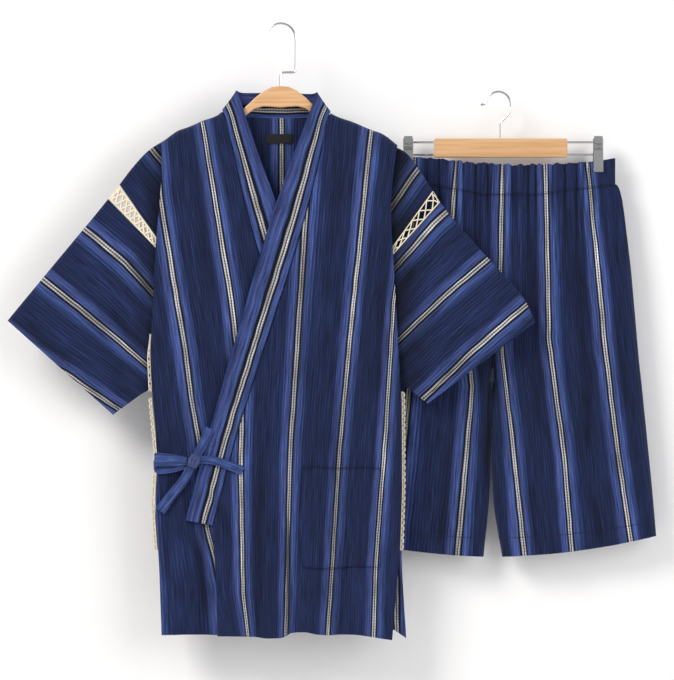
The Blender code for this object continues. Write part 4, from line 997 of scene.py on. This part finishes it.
def leg_grid(table, rows=110, flat=96, bend=14):
    """A leg as one sheet: from its inner edge round the outer fold and back to its inner edge. Each
    line down it has its distance from the inner edge and its share of the leg's half depth."""
    at, (inner_x, inner_z, outer_x, outer_z, depth, _, apart) = stations(table, 0, LEG_STATIONS, rows)
    closed = np.interp(at, CROTCH, (0.0, 1.0))
    side = 1 if table[0][2] > table[0][0] else -1
    inner_x = inner_x + side * apart
    width = np.abs(outer_x - inner_x)
    lines = []
    quarter = np.pi / 2 * np.arange(bend) / bend
    for angle in quarter:
        lines.append((LEG_ROUND * (1 - math.cos(angle)) + 0 * at, 1 - closed * (1 - math.sin(angle))))
    for step in range(flat):
        lines.append((LEG_ROUND + (width - 2 * LEG_ROUND) * step / flat, 1.0 + 0 * at))
    for angle in quarter:
        lines.append((width - LEG_ROUND * (1 - math.sin(angle)), math.cos(angle) + 0 * at))
    lines.append((width, 0 * at))
    made = []
    for facing, part in ((-1, lines), (1, lines[-2::-1])):
        for reach, full in part:
            x = inner_x + side * reach
            across = reach / width
            z = inner_z + (outer_z - inner_z) * across
            low = LEG_ROWS * at / LEG_STATIONS
            z = z + (level(WAIST_SEAM, x) + WAIST_TUCK - z) * (1 - ease(low / 2))
            z = z - HEM_SAG * np.sin(math.pi * across) * ease((low - LEG_ROWS + 2) / 2)
            grown = ease((GROW_FROM - z) / GROW_OVER)
            hung = waist_depth(x) * (1 - grown) + depth * full * grown
            hung = np.where(full < 1.0, np.minimum(hung, WAIST_PINCH + depth * full), hung)
            for x_top, x_hem, z_top, half_width, height in LEG_FOLDS:
                down = (z_top - z) / (z_top - SHORTS_HEM)
                ridge = x_top + (x_hem - x_top) * np.maximum(down, 0)
                hung = hung + height * ease(down * 3) * np.exp(-((x - ridge) / half_width) ** 2) * full ** 2
            hung = np.where(across < 1 - 1e-9, np.maximum(hung, HALF_SEAM), 0.0)
            made.append(np.stack([x, SHORTS_PLANE + facing * hung, z], axis=-1))
    return np.stack(made, axis=1)


def shorts_piece(node, grid, height, thickness):
    """A piece of the shorts, with the elastic's ripples this high and its creases."""
    outward = looks_out(grid, SHORTS_PLANE)
    width, length, area = measured(grid)
    room = np.clip((np.abs(grid[..., 1] - SHORTS_PLANE) - HALF_SEAM) / LEG_ROOM, 0, 1)
    off_clips = np.clip(np.minimum(grid[..., 0] - CLIPPED[0], CLIPPED[1] - grid[..., 0]) / 0.01, 0, 1)
    clear = np.where(grid[..., 2] > CLIPPED_LOW, off_clips, 1.0)
    ripple, crease = gathers(grid) * height * clear * room, creases(grid, CREASE_SHORTS) * room
    uv = stripe_map(grid, LINES_SHORTS, DOWN_THE_BODY)
    grid = push(grid, outward, ripple + crease)
    top = 1 - np.clip((level(WAIST_TOP, grid[..., 0]) - grid[..., 2]) / 0.008, 0, 1)
    grid[..., 2] += ripple * top * 0.8
    # painted shade along the waist seam
    seam = np.exp(-((grid[..., 2] - level(WAIST_SEAM, grid[..., 0])) / SEAM_WIDE) ** 2)
    shade = in_folds(ripple, GATHER_LIGHT) * in_folds(crease) * (1 - SEAM_SHADE * seam)
    obj = lay(node + "_cloth", grid, outward, uv, shade)
    thicken(obj, WALLS[thickness], 0.0)
    finish(obj, node, cotton, (width, length))
    return grid


shorts_piece("waistband", waist_grid(16), GATHER_BAND, "band")
leg_left = shorts_piece("leg_left", leg_grid(LEG_LEFT), GATHER_LEG, "cloth")
leg_right = shorts_piece("leg_right", leg_grid(LEG_RIGHT), GATHER_LEG, "cloth")

# %% [markdown]
# ## Lace
# The lace is a net: a cord along each edge, and between them two cords that zigzag against each
# other and so make a row of crosses. The cords are flat, six-sided, and lie on the middle of the
# lace's wall. The side seams' lace also has small loops along its outermost line.

# %% cords laid on a grid
LACE_CORD, LACE_THICK = 0.0019, 0.0010
LACE_EDGE, LACE_INNER, LACE_CROSS = 0.07, 0.10, 0.0003        # two shares of its width, and a lift
LOOP_REACH, LOOP_STAND = 0.0036, 0.0016
NARROWEST = 0.010


def on_grid(grid, across, down):
    """Places on a grid at shares of its width and of its length."""
    rows, columns = grid.shape[0] - 1, grid.shape[1] - 1
    r, c = np.clip(down, 0, 1) * rows, np.clip(across, 0, 1) * columns
    row, column = np.minimum(r.astype(int), rows - 1), np.minimum(c.astype(int), columns - 1)
    r, c = (r - row)[:, None], (c - column)[:, None]
    return ((grid[row, column] * (1 - c) + grid[row, column + 1] * c) * (1 - r)
            + (grid[row + 1, column] * (1 - c) + grid[row + 1, column + 1] * c) * r)


def cords(name, runs, width, thickness, material):
    """Flat cords in one mesh. Each run is its points and the sheet's normals at them."""
    corners = [(math.cos(k * math.pi / 3) / 2, math.sin(k * math.pi / 3) / 2) for k in range(6)]
    verts, faces = [], []
    for points, normals in runs:
        ahead = np.gradient(points, axis=0)
        side = np.cross(normals, ahead)
        side /= np.linalg.norm(side, axis=1, keepdims=True)
        start = len(verts)
        for point, aside, normal in zip(points, side, normals):
            verts.extend(point + aside * width * a + normal * thickness * b for a, b in corners)
        last = start + 6 * (len(points) - 1)
        for ring in range(start, last, 6):
            faces.extend((ring + k, ring + (k + 1) % 6, ring + 6 + (k + 1) % 6, ring + 6 + k)
                         for k in range(6))
        faces.append(tuple(range(start + 5, start - 1, -1)))
        faces.append(tuple(range(last, last + 6)))
    mesh = bpy.data.meshes.new(name)
    mesh.from_pydata([tuple(vert) for vert in verts], [], faces)
    obj = bpy.data.objects.new(name, mesh)
    bpy.context.scene.collection.objects.link(obj)
    bpy.ops.object.select_all(action="DESELECT")
    obj.select_set(True)
    bpy.context.view_layer.objects.active = obj
    bpy.ops.object.mode_set(mode="EDIT")
    bpy.ops.mesh.select_all(action="SELECT")
    bpy.ops.mesh.normals_make_consistent(inside=False)
    bpy.ops.object.mode_set(mode="OBJECT")
    mesh.shade_smooth()
    mesh.materials.append(material)
    return obj


def run_on(grid, across, down, lift=0.0):
    """A run of a cord over a grid: its points, lifted off the sheet, and the normals there."""
    normals = on_grid(grid_normals(grid), across, down)
    normals /= np.linalg.norm(normals, axis=1, keepdims=True)
    return on_grid(grid, across, down) + normals * lift, normals


cream = plain_material("cream cotton lace", (0.74, 0.66, 0.50), 0.85)


def lace(node, grid, crosses, lengthwise, loops=0, cord=LACE_CORD):
    """A net on a grid. Its length runs along the rows, or down them when lengthwise is false."""
    length = np.linspace(0, 1, crosses * 10 + 1)
    beat = np.abs((length * crosses) % 2 - 1)
    runs = []

    def lay_run(along, over, lift=0.0):
        over = over + 0 * along
        across, down = (along, over) if lengthwise else (over, along)
        runs.append(run_on(grid, across, down, lift))

    lay_run(length, LACE_EDGE)
    lay_run(length, 1 - LACE_EDGE)
    lay_run(length, LACE_INNER + (1 - 2 * LACE_INNER) * beat, LACE_CROSS)
    lay_run(length, 1 - LACE_INNER - (1 - 2 * LACE_INNER) * beat, -LACE_CROSS)
    middle_line = 0.5 + 0 * length
    points, normals = run_on(grid, *((length, middle_line) if lengthwise else (middle_line, length)))
    for k in range(loops):
        turn = np.linspace(0, math.pi, 7)
        middle = int((k + 0.5) / loops * (len(points) - 1))
        ahead = points[min(middle + 3, len(points) - 1)] - points[max(middle - 3, 0)]
        ahead = ahead / np.linalg.norm(ahead)
        out = normals[middle] * (1 if normals[middle][0] * points[middle][0] > 0 else -1)
        ring = np.outer(-np.cos(turn) * LOOP_REACH, ahead) + np.outer(np.sin(turn) * LOOP_STAND, out)
        runs.append((points[middle] + ring, np.tile(np.cross(ahead, out), (7, 1))))
    obj = cords(node + "_net", runs, cord, LACE_THICK, cream)
    width, height, _ = measured(grid)
    stands_for(obj, node)
    width = max(width, NARROWEST)         # the strip at the armhole is mostly under the front's edge


# %% lace of the sleeves and of the sides
lace("sleeve_lace_left", arm_grid(ARM_LEFT, LACE_START, LACE_END, 8), 26, True, 0, 0.0030)
lace("sleeve_lace_right", arm_grid(ARM_RIGHT, LACE_START, LACE_END, 8), 16, True)
LEFT_SIDE = ((-0.411, -0.1890), (-0.490, -0.1925), (-0.565, -0.1890), (-0.640, -0.1815),
             (-0.715, -0.1856), (-0.783, -0.1810))
LEFT_BACK = ((-0.490, -0.1925), (-0.565, -0.1895), (-0.640, -0.1840), (-0.715, -0.1862), (-0.783, -0.1800))
RIGHT_SIDE = ((-0.468, 0.1735), (-0.561, 0.1785), (-0.690, 0.1790), (-0.775, 0.1765), (-0.9165, 0.1650))
RIGHT_BACK = ((-0.468, 0.1735), (-0.561, 0.1785), (-0.690, 0.1805), (-0.790, 0.1800))


def side_lace_grid(side, front, back, z_top, z_low, rows=60):
    """The strip between a front's side and the back's, bowed outwards."""
    z = np.linspace(z_top, z_low, rows + 1)
    x_front, x_back = level(front, z) + side * 0.0016, level(back, z) + side * 0.0016
    lines = [(x_front, -0.0109), (x_front + side * 0.0026, -0.0052),
             (x_front + side * 0.0030, 0.0028), (x_back, 0.0084)]
    rough = np.stack([np.stack([x, y + 0 * z, z], axis=-1) for x, y in lines], axis=1)
    return fine_grid(rough, 1, 8)


lace("side_lace_left", side_lace_grid(-1, LEFT_SIDE, LEFT_BACK, -0.557, -0.783), 26, False, 26, 0.0022)
lace("side_lace_right", side_lace_grid(1, RIGHT_SIDE, RIGHT_BACK, -0.548, -0.783), 26, False, 26, 0.0022)
ARMHOLE_ROWS, ARMHOLE_PLACE = 21, -0.0098
z = np.linspace(-0.462, -0.548, ARMHOLE_ROWS)
edge = level(LEFT_SIDE, z) - SEAM - 0.0006
width = 0.0015 + 0.0030 * ease(np.linspace(0, 2, ARMHOLE_ROWS))
strip = np.stack([np.stack([edge - width * (1 - k / 4), 0 * z + ARMHOLE_PLACE, z], axis=-1)
                  for k in range(5)], axis=1)
lace("armhole_lace_left", strip, 7, False, 0, 0.0012)

# %% [markdown]
# ## The bow
# Every tie is one folded tape, topstitched along both edges, which shows as a paler line. The
# loop comes out of the knot, fans open, turns at its end and goes back behind. The knot is the
# same tape wrapped once round, so it is a rounded block with its wraps running down it.

# %% tapes, loop and knot
TAPES = {
    # middle line from the knot outwards, as x, y, z; width at its start and end
    "tie_strap_collar": (((-0.1245, -0.0270, -0.6430), (-0.1130, -0.0266, -0.6210),
                          (-0.1045, -0.0262, -0.6020)), (0.012, 0.015)),
    "tie_end_right": (((-0.1220, -0.0310, -0.6475), (-0.1000, -0.0305, -0.6490),
                       (-0.0780, -0.0305, -0.6560), (-0.0555, -0.0305, -0.6650)), (0.0105, 0.0140)),
    "tie_end_low": (((-0.1300, -0.0300, -0.6560), (-0.1430, -0.0260, -0.6780),
                     (-0.1620, -0.0226, -0.7020), (-0.1785, -0.0198, -0.7245)), (0.0125, 0.0150)),
    "tie_strap_side": (((-0.1390, -0.0240, -0.6520), (-0.1550, -0.0210, -0.6540),
                        (-0.1750, -0.0160, -0.6565), (-0.1880, -0.0139, -0.6570)), (0.0120, 0.0140)),
}
LOOP = (
    # x,       y,       z,       width
    (-0.1385, -0.0312, -0.6500, 0.0110),
    (-0.1600, -0.0308, -0.6485, 0.0165),
    (-0.1785, -0.0275, -0.6478, 0.0190),
    (-0.1858, -0.0245, -0.6500, 0.0200),
    (-0.1858, -0.0206, -0.6560, 0.0200),
    (-0.1785, -0.0190, -0.6600, 0.0190),
    (-0.1600, -0.0238, -0.6590, 0.0165),
    (-0.1400, -0.0268, -0.6560, 0.0110),
)
KNOT, KNOT_SIZE = (-0.1275, -0.0325, -0.6505), (0.0185, 0.0110, 0.0205)
KNOT_LEAN, KNOT_SQUARE, KNOT_WRAP, KNOT_WAIST, KNOT_LIGHT = 0.38, 0.72, 0.07, 14, 0.9
TAPE_WIDTH, TAPE_CROWN, TAPE_WAVE = 0.0132, 0.0004, 0.00035
TAPE_LIGHT = 500.0
tape_cotton = striped_cotton("tape cotton", TAPE_STRIPES)
over_tape = np.linspace(-0.5, 0.5, 13)


def tape(node, grid):
    """A tape from its grid, whose rows are its cross-sections."""
    grid = grid - np.array((0, TAPE_CROWN, 0)) * (1 - (over_tape * 2) ** 2)[None, :, None]
    along = arc(grid, 0)
    uv = np.stack([np.broadcast_to(over_tape * TAPE_WIDTH, along.shape), along], axis=-1)
    wave = TAPE_WAVE * np.sin(along * 260 + 2.0) * (1 - np.abs(over_tape * 2))[None, :]
    waved = grid - np.stack([0 * wave, wave, 0 * wave], axis=-1)
    # painted shade and highlight of the tape's small waves
    obj = lay(node + "_cloth", waved, False, uv, in_folds(wave, TAPE_LIGHT))
    thicken(obj, WALLS["tape"], 0.0)
    width, length, area = measured(grid)
    finish(obj, node, tape_cotton, (width, length))


for node, (middle, widths) in TAPES.items():
    line = finer(np.array(middle)[:, None, :], 16)[:, 0]
    ahead = np.gradient(line, axis=0)
    side = np.stack([-ahead[:, 2], 0 * ahead[:, 0], ahead[:, 0]], axis=-1)
    side /= np.linalg.norm(side, axis=1, keepdims=True)
    span = np.linspace(widths[0], widths[1], len(line))
    tape(node, line[:, None, :] + side[:, None, :] * span[:, None, None] * -over_tape[None, :, None])
loop = finer(np.array(LOOP)[:, None, :], 14)[:, 0]
up = np.array((0, 0, 1))
tape("tie_loop_left", loop[:, None, :3] + up * (loop[:, 3][:, None] * -over_tape[None, :])[..., None])

bpy.ops.object.select_all(action="DESELECT")
bpy.ops.mesh.primitive_uv_sphere_add(segments=48, ring_count=28, radius=1, location=(0, 0, 0))
knot = bpy.context.object
knot.name = "tie_knot_cloth"
for point in knot.data.vertices:
    x, y, z = point.co
    wrap = 1 + KNOT_WRAP * math.sin(x * 9 + 1.2 * z) * (1 - abs(z))
    square = 1 / max(abs(x), abs(y), abs(z)) ** KNOT_SQUARE
    x, y, z = [size / 2 * value * square for size, value in zip(KNOT_SIZE, (x, y * wrap, z))]
    x *= 1 - KNOT_WAIST * abs(z)
    point.co = (KNOT[0] + x * math.cos(KNOT_LEAN) + z * math.sin(KNOT_LEAN), KNOT[1] + y,
                KNOT[2] - x * math.sin(KNOT_LEAN) + z * math.cos(KNOT_LEAN))
knot.data.uv_layers[0].name = "cloth"
# painted shade: the whole knot is painted a tenth darker
store = knot.data.attributes.new("hollow", "FLOAT", "POINT")
store.data.foreach_set("value", [KNOT_LIGHT] * len(knot.data.vertices))
knot.data.shade_smooth()
knot.data.materials.append(tape_cotton)
stands_for(knot, "tie_knot")

# %% [markdown]
# ## Label, wood and metal
# The label is plain black cloth with no words. The wood is beech: long fine grain in a warm pale
# ground. The metal is polished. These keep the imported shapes. Only the clips' small parts are added:
# a coiled spring, the lever that opens the jaws and their lip.

# %% label


def refinished(node, material, ending="_finish"):
    """A node's own shape again, in another finish."""
    obj = nodes[node].copy()
    obj.data = obj.data.copy()
    obj.name = node + ending
    bpy.context.scene.collection.objects.link(obj)
    obj.data.materials.clear()
    obj.data.materials.append(material)
    obj.data.set_sharp_from_angle(angle=math.radians(38))
    stands_for(obj, node)
    return obj


label_cloth = plain_material("black label", (0.0035, 0.0035, 0.0045), 0.9)
label = refinished("neck_label", label_cloth, "_cloth")

# %% wood


def wood(name, colour, deep):
    made = bpy.data.materials.new(name)
    made.use_nodes = True
    tree = made.node_tree
    shader = tree.nodes["Principled BSDF"]
    place = joined(tree, "ShaderNodeTexCoord").outputs["Object"]
    stretched = joined(tree, "ShaderNodeMapping", place)
    stretched.inputs["Scale"].default_value = (9.0, 60.0, 240.0)
    grain = joined(tree, "ShaderNodeTexNoise", stretched.outputs[0])
    grain.inputs["Scale"].default_value = 1.0
    grain.inputs["Detail"].default_value = 4.0
    colours = ramp(tree, grain.outputs[0], ((0.30, deep), (0.62, colour)))
    tree.links.new(colours, shader.inputs["Base Color"])
    shader.inputs["Roughness"].default_value = 0.38
    shader.inputs["Coat Weight"].default_value = 0.25
    return made


beech = wood("beech", (0.640, 0.380, 0.185), (0.520, 0.275, 0.115))
steel = plain_material("polished steel", (0.46, 0.46, 0.46), 0.20)
steel.node_tree.nodes["Principled BSDF"].inputs["Metallic"].default_value = 1.0
refinished("clip_hanger_bar", beech)
board = refinished("coat_hanger_wood", beech)
for point in board.data.vertices:
    point.co.z -= float(droop(point.co.x, point.co.z))
for node in nodes:
    if node.startswith(("coat_hanger_hook", "clip_hanger_hook", "clip_wire")):
        refinished(node, steel)

# %% clips
CLIPS = (("left", 0.1905), ("right", 0.4747))
SPRING_TURNS, SPRING_STEP, SPRING_RADIUS, SPRING_WIRE = 6, 0.0020, 0.0034, 0.0008
CLIP_SHAPES = (
    # name,   forward, z,       size
    ("lever", 0.0092, -0.1715, (0.0130, 0.0012, 0.0110)),
    ("lip", 0.0082, -0.2165, (0.0156, 0.0022, 0.0040)),
)


def placed(kind, name, place, scale, turn=(0, 0, 0), **settings):
    """A primitive put in place, with its size applied."""
    bpy.ops.object.select_all(action="DESELECT")
    getattr(bpy.ops.mesh, "primitive_" + kind + "_add")(location=place, rotation=turn, **settings)
    obj = bpy.context.object
    obj.name = name
    obj.scale = scale
    bpy.ops.object.transform_apply(location=True, rotation=True, scale=True)
    obj.data.materials.append(steel)
    return obj


for side, x in CLIPS:
    refinished("clip_" + side, steel)
    parts = []
    for k in range(SPRING_TURNS):
        parts.append(placed("torus", "turn", (x - 0.0050 + k * SPRING_STEP, SHORTS_PLANE - 0.0095, -0.1825),
                            (1, 1, 1), (0, math.radians(90), 0), major_radius=SPRING_RADIUS,
                            minor_radius=SPRING_WIRE, major_segments=20, minor_segments=6))
    for name, forward, z, size in CLIP_SHAPES:
        part = placed("cube", name, (x, SHORTS_PLANE - forward, z), size, size=1)
        soften = part.modifiers.new("soft edges", "BEVEL")
        soften.width = 0.0005
        bpy.context.view_layer.objects.active = part
        bpy.ops.object.modifier_apply(modifier=soften.name)
        parts.append(part)
    bpy.ops.object.select_all(action="DESELECT")
    for part in parts:
        part.select_set(True)
    bpy.ops.object.join()
    spring = bpy.context.object
    spring.name = "clip_" + side + "_spring"
    spring.data.shade_smooth()
    spring.data.set_sharp_from_angle(angle=math.radians(38))
    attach(spring, "root")
    print(spring.name, len(spring.data.polygons), "faces")

# %% [markdown]
# ## Stitching
# A row of stitches is a run of short dashes that lie on the cloth. They hold the hems, the cuffs
# and the pocket, in a thread darker than the cloth, so they are hardly seen from afar.

# %% stitches
THREAD, DASH, DASH_GAP = 0.0010, 0.0030, 0.0010
HEM, CUFF_HEM, LEG_HEM, POCKET_HEM = 0.0190, 0.0170, 0.0210, 0.0150        # stitches from the edge
POCKET_EDGE = 0.015        # a share of the pocket's width
ON_CLOTH, ON_TUBE = 0.0002, 0.0010         # how far stitches lie from the grid they follow
thread = plain_material("dark thread", (0.0020, 0.0030, 0.0100), 0.8)


def near_end(inset, length):
    """The share of a grid's length that lies this far before its end."""
    return 1 - inset / length


def stitch_runs(grid, over, down_rows, lift):
    """Dashes along one line of a grid: across its columns, or down its rows."""
    steps = np.linspace(0, 1, 400)
    across, down = (over + 0 * steps, steps) if down_rows else (steps, over + 0 * steps)
    points, normals = run_on(grid, across, down, lift)
    reach = np.concatenate([[0], np.cumsum(np.linalg.norm(np.diff(points, axis=0), axis=1))])
    runs = []
    for start in np.arange(0.002, reach[-1] - DASH, DASH + DASH_GAP):
        at = np.linspace(start, start + DASH, 3)
        pick = [np.stack([np.interp(at, reach, column) for column in place.T], axis=-1)
                for place in (points, normals)]
        runs.append(tuple(pick))
    return runs


def stitched(name, *lines):
    """The stitches along all the lines of a piece. Each line is what stitch_runs takes."""
    runs = [run for line in lines for run in stitch_runs(*line)]
    obj = cords(name, runs, THREAD, THREAD * 0.6, thread)
    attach(obj, "root")
    print(name, len(runs), "stitches")


def outer(grid, towards):
    """The lift that puts a stitch on the face that looks the given way."""
    facing = (grid_normals(grid) @ np.array(towards)).sum()
    return math.copysign(ON_CLOTH, facing)


on_pocket = outer(pocket_grid, FRONT)
stitched("front_stitches",
         (over_grid, near_end(HEM, 0.775), False, outer(over_grid, FRONT)),
         (under_grid, near_end(HEM, 0.760), False, outer(under_grid, FRONT)),
         (pocket_grid, POCKET_HEM / 0.150, False, on_pocket),
         (pocket_grid, POCKET_EDGE, True, on_pocket),
         (pocket_grid, 1 - POCKET_EDGE, True, on_pocket),
         (pocket_grid, 1 - POCKET_EDGE, False, on_pocket))
stitched("back_stitches", (back_grid, near_end(HEM, 0.760), False, outer(back_grid, BACK)))
for name, grid, plane, share in (("sleeve_left", sleeve_left, ARM_PLANE, near_end(CUFF_HEM, 0.240)),
                                 ("sleeve_right", sleeve_right, ARM_PLANE, near_end(CUFF_HEM, 0.235)),
                                 ("leg_left", leg_left, SHORTS_PLANE, near_end(LEG_HEM, 0.540)),
                                 ("leg_right", leg_right, SHORTS_PLANE, near_end(LEG_HEM, 0.540))):
    lift = ON_TUBE if looks_out(grid, plane) else -ON_TUBE
    stitched(name + "_stitches", (grid, share, False, lift))
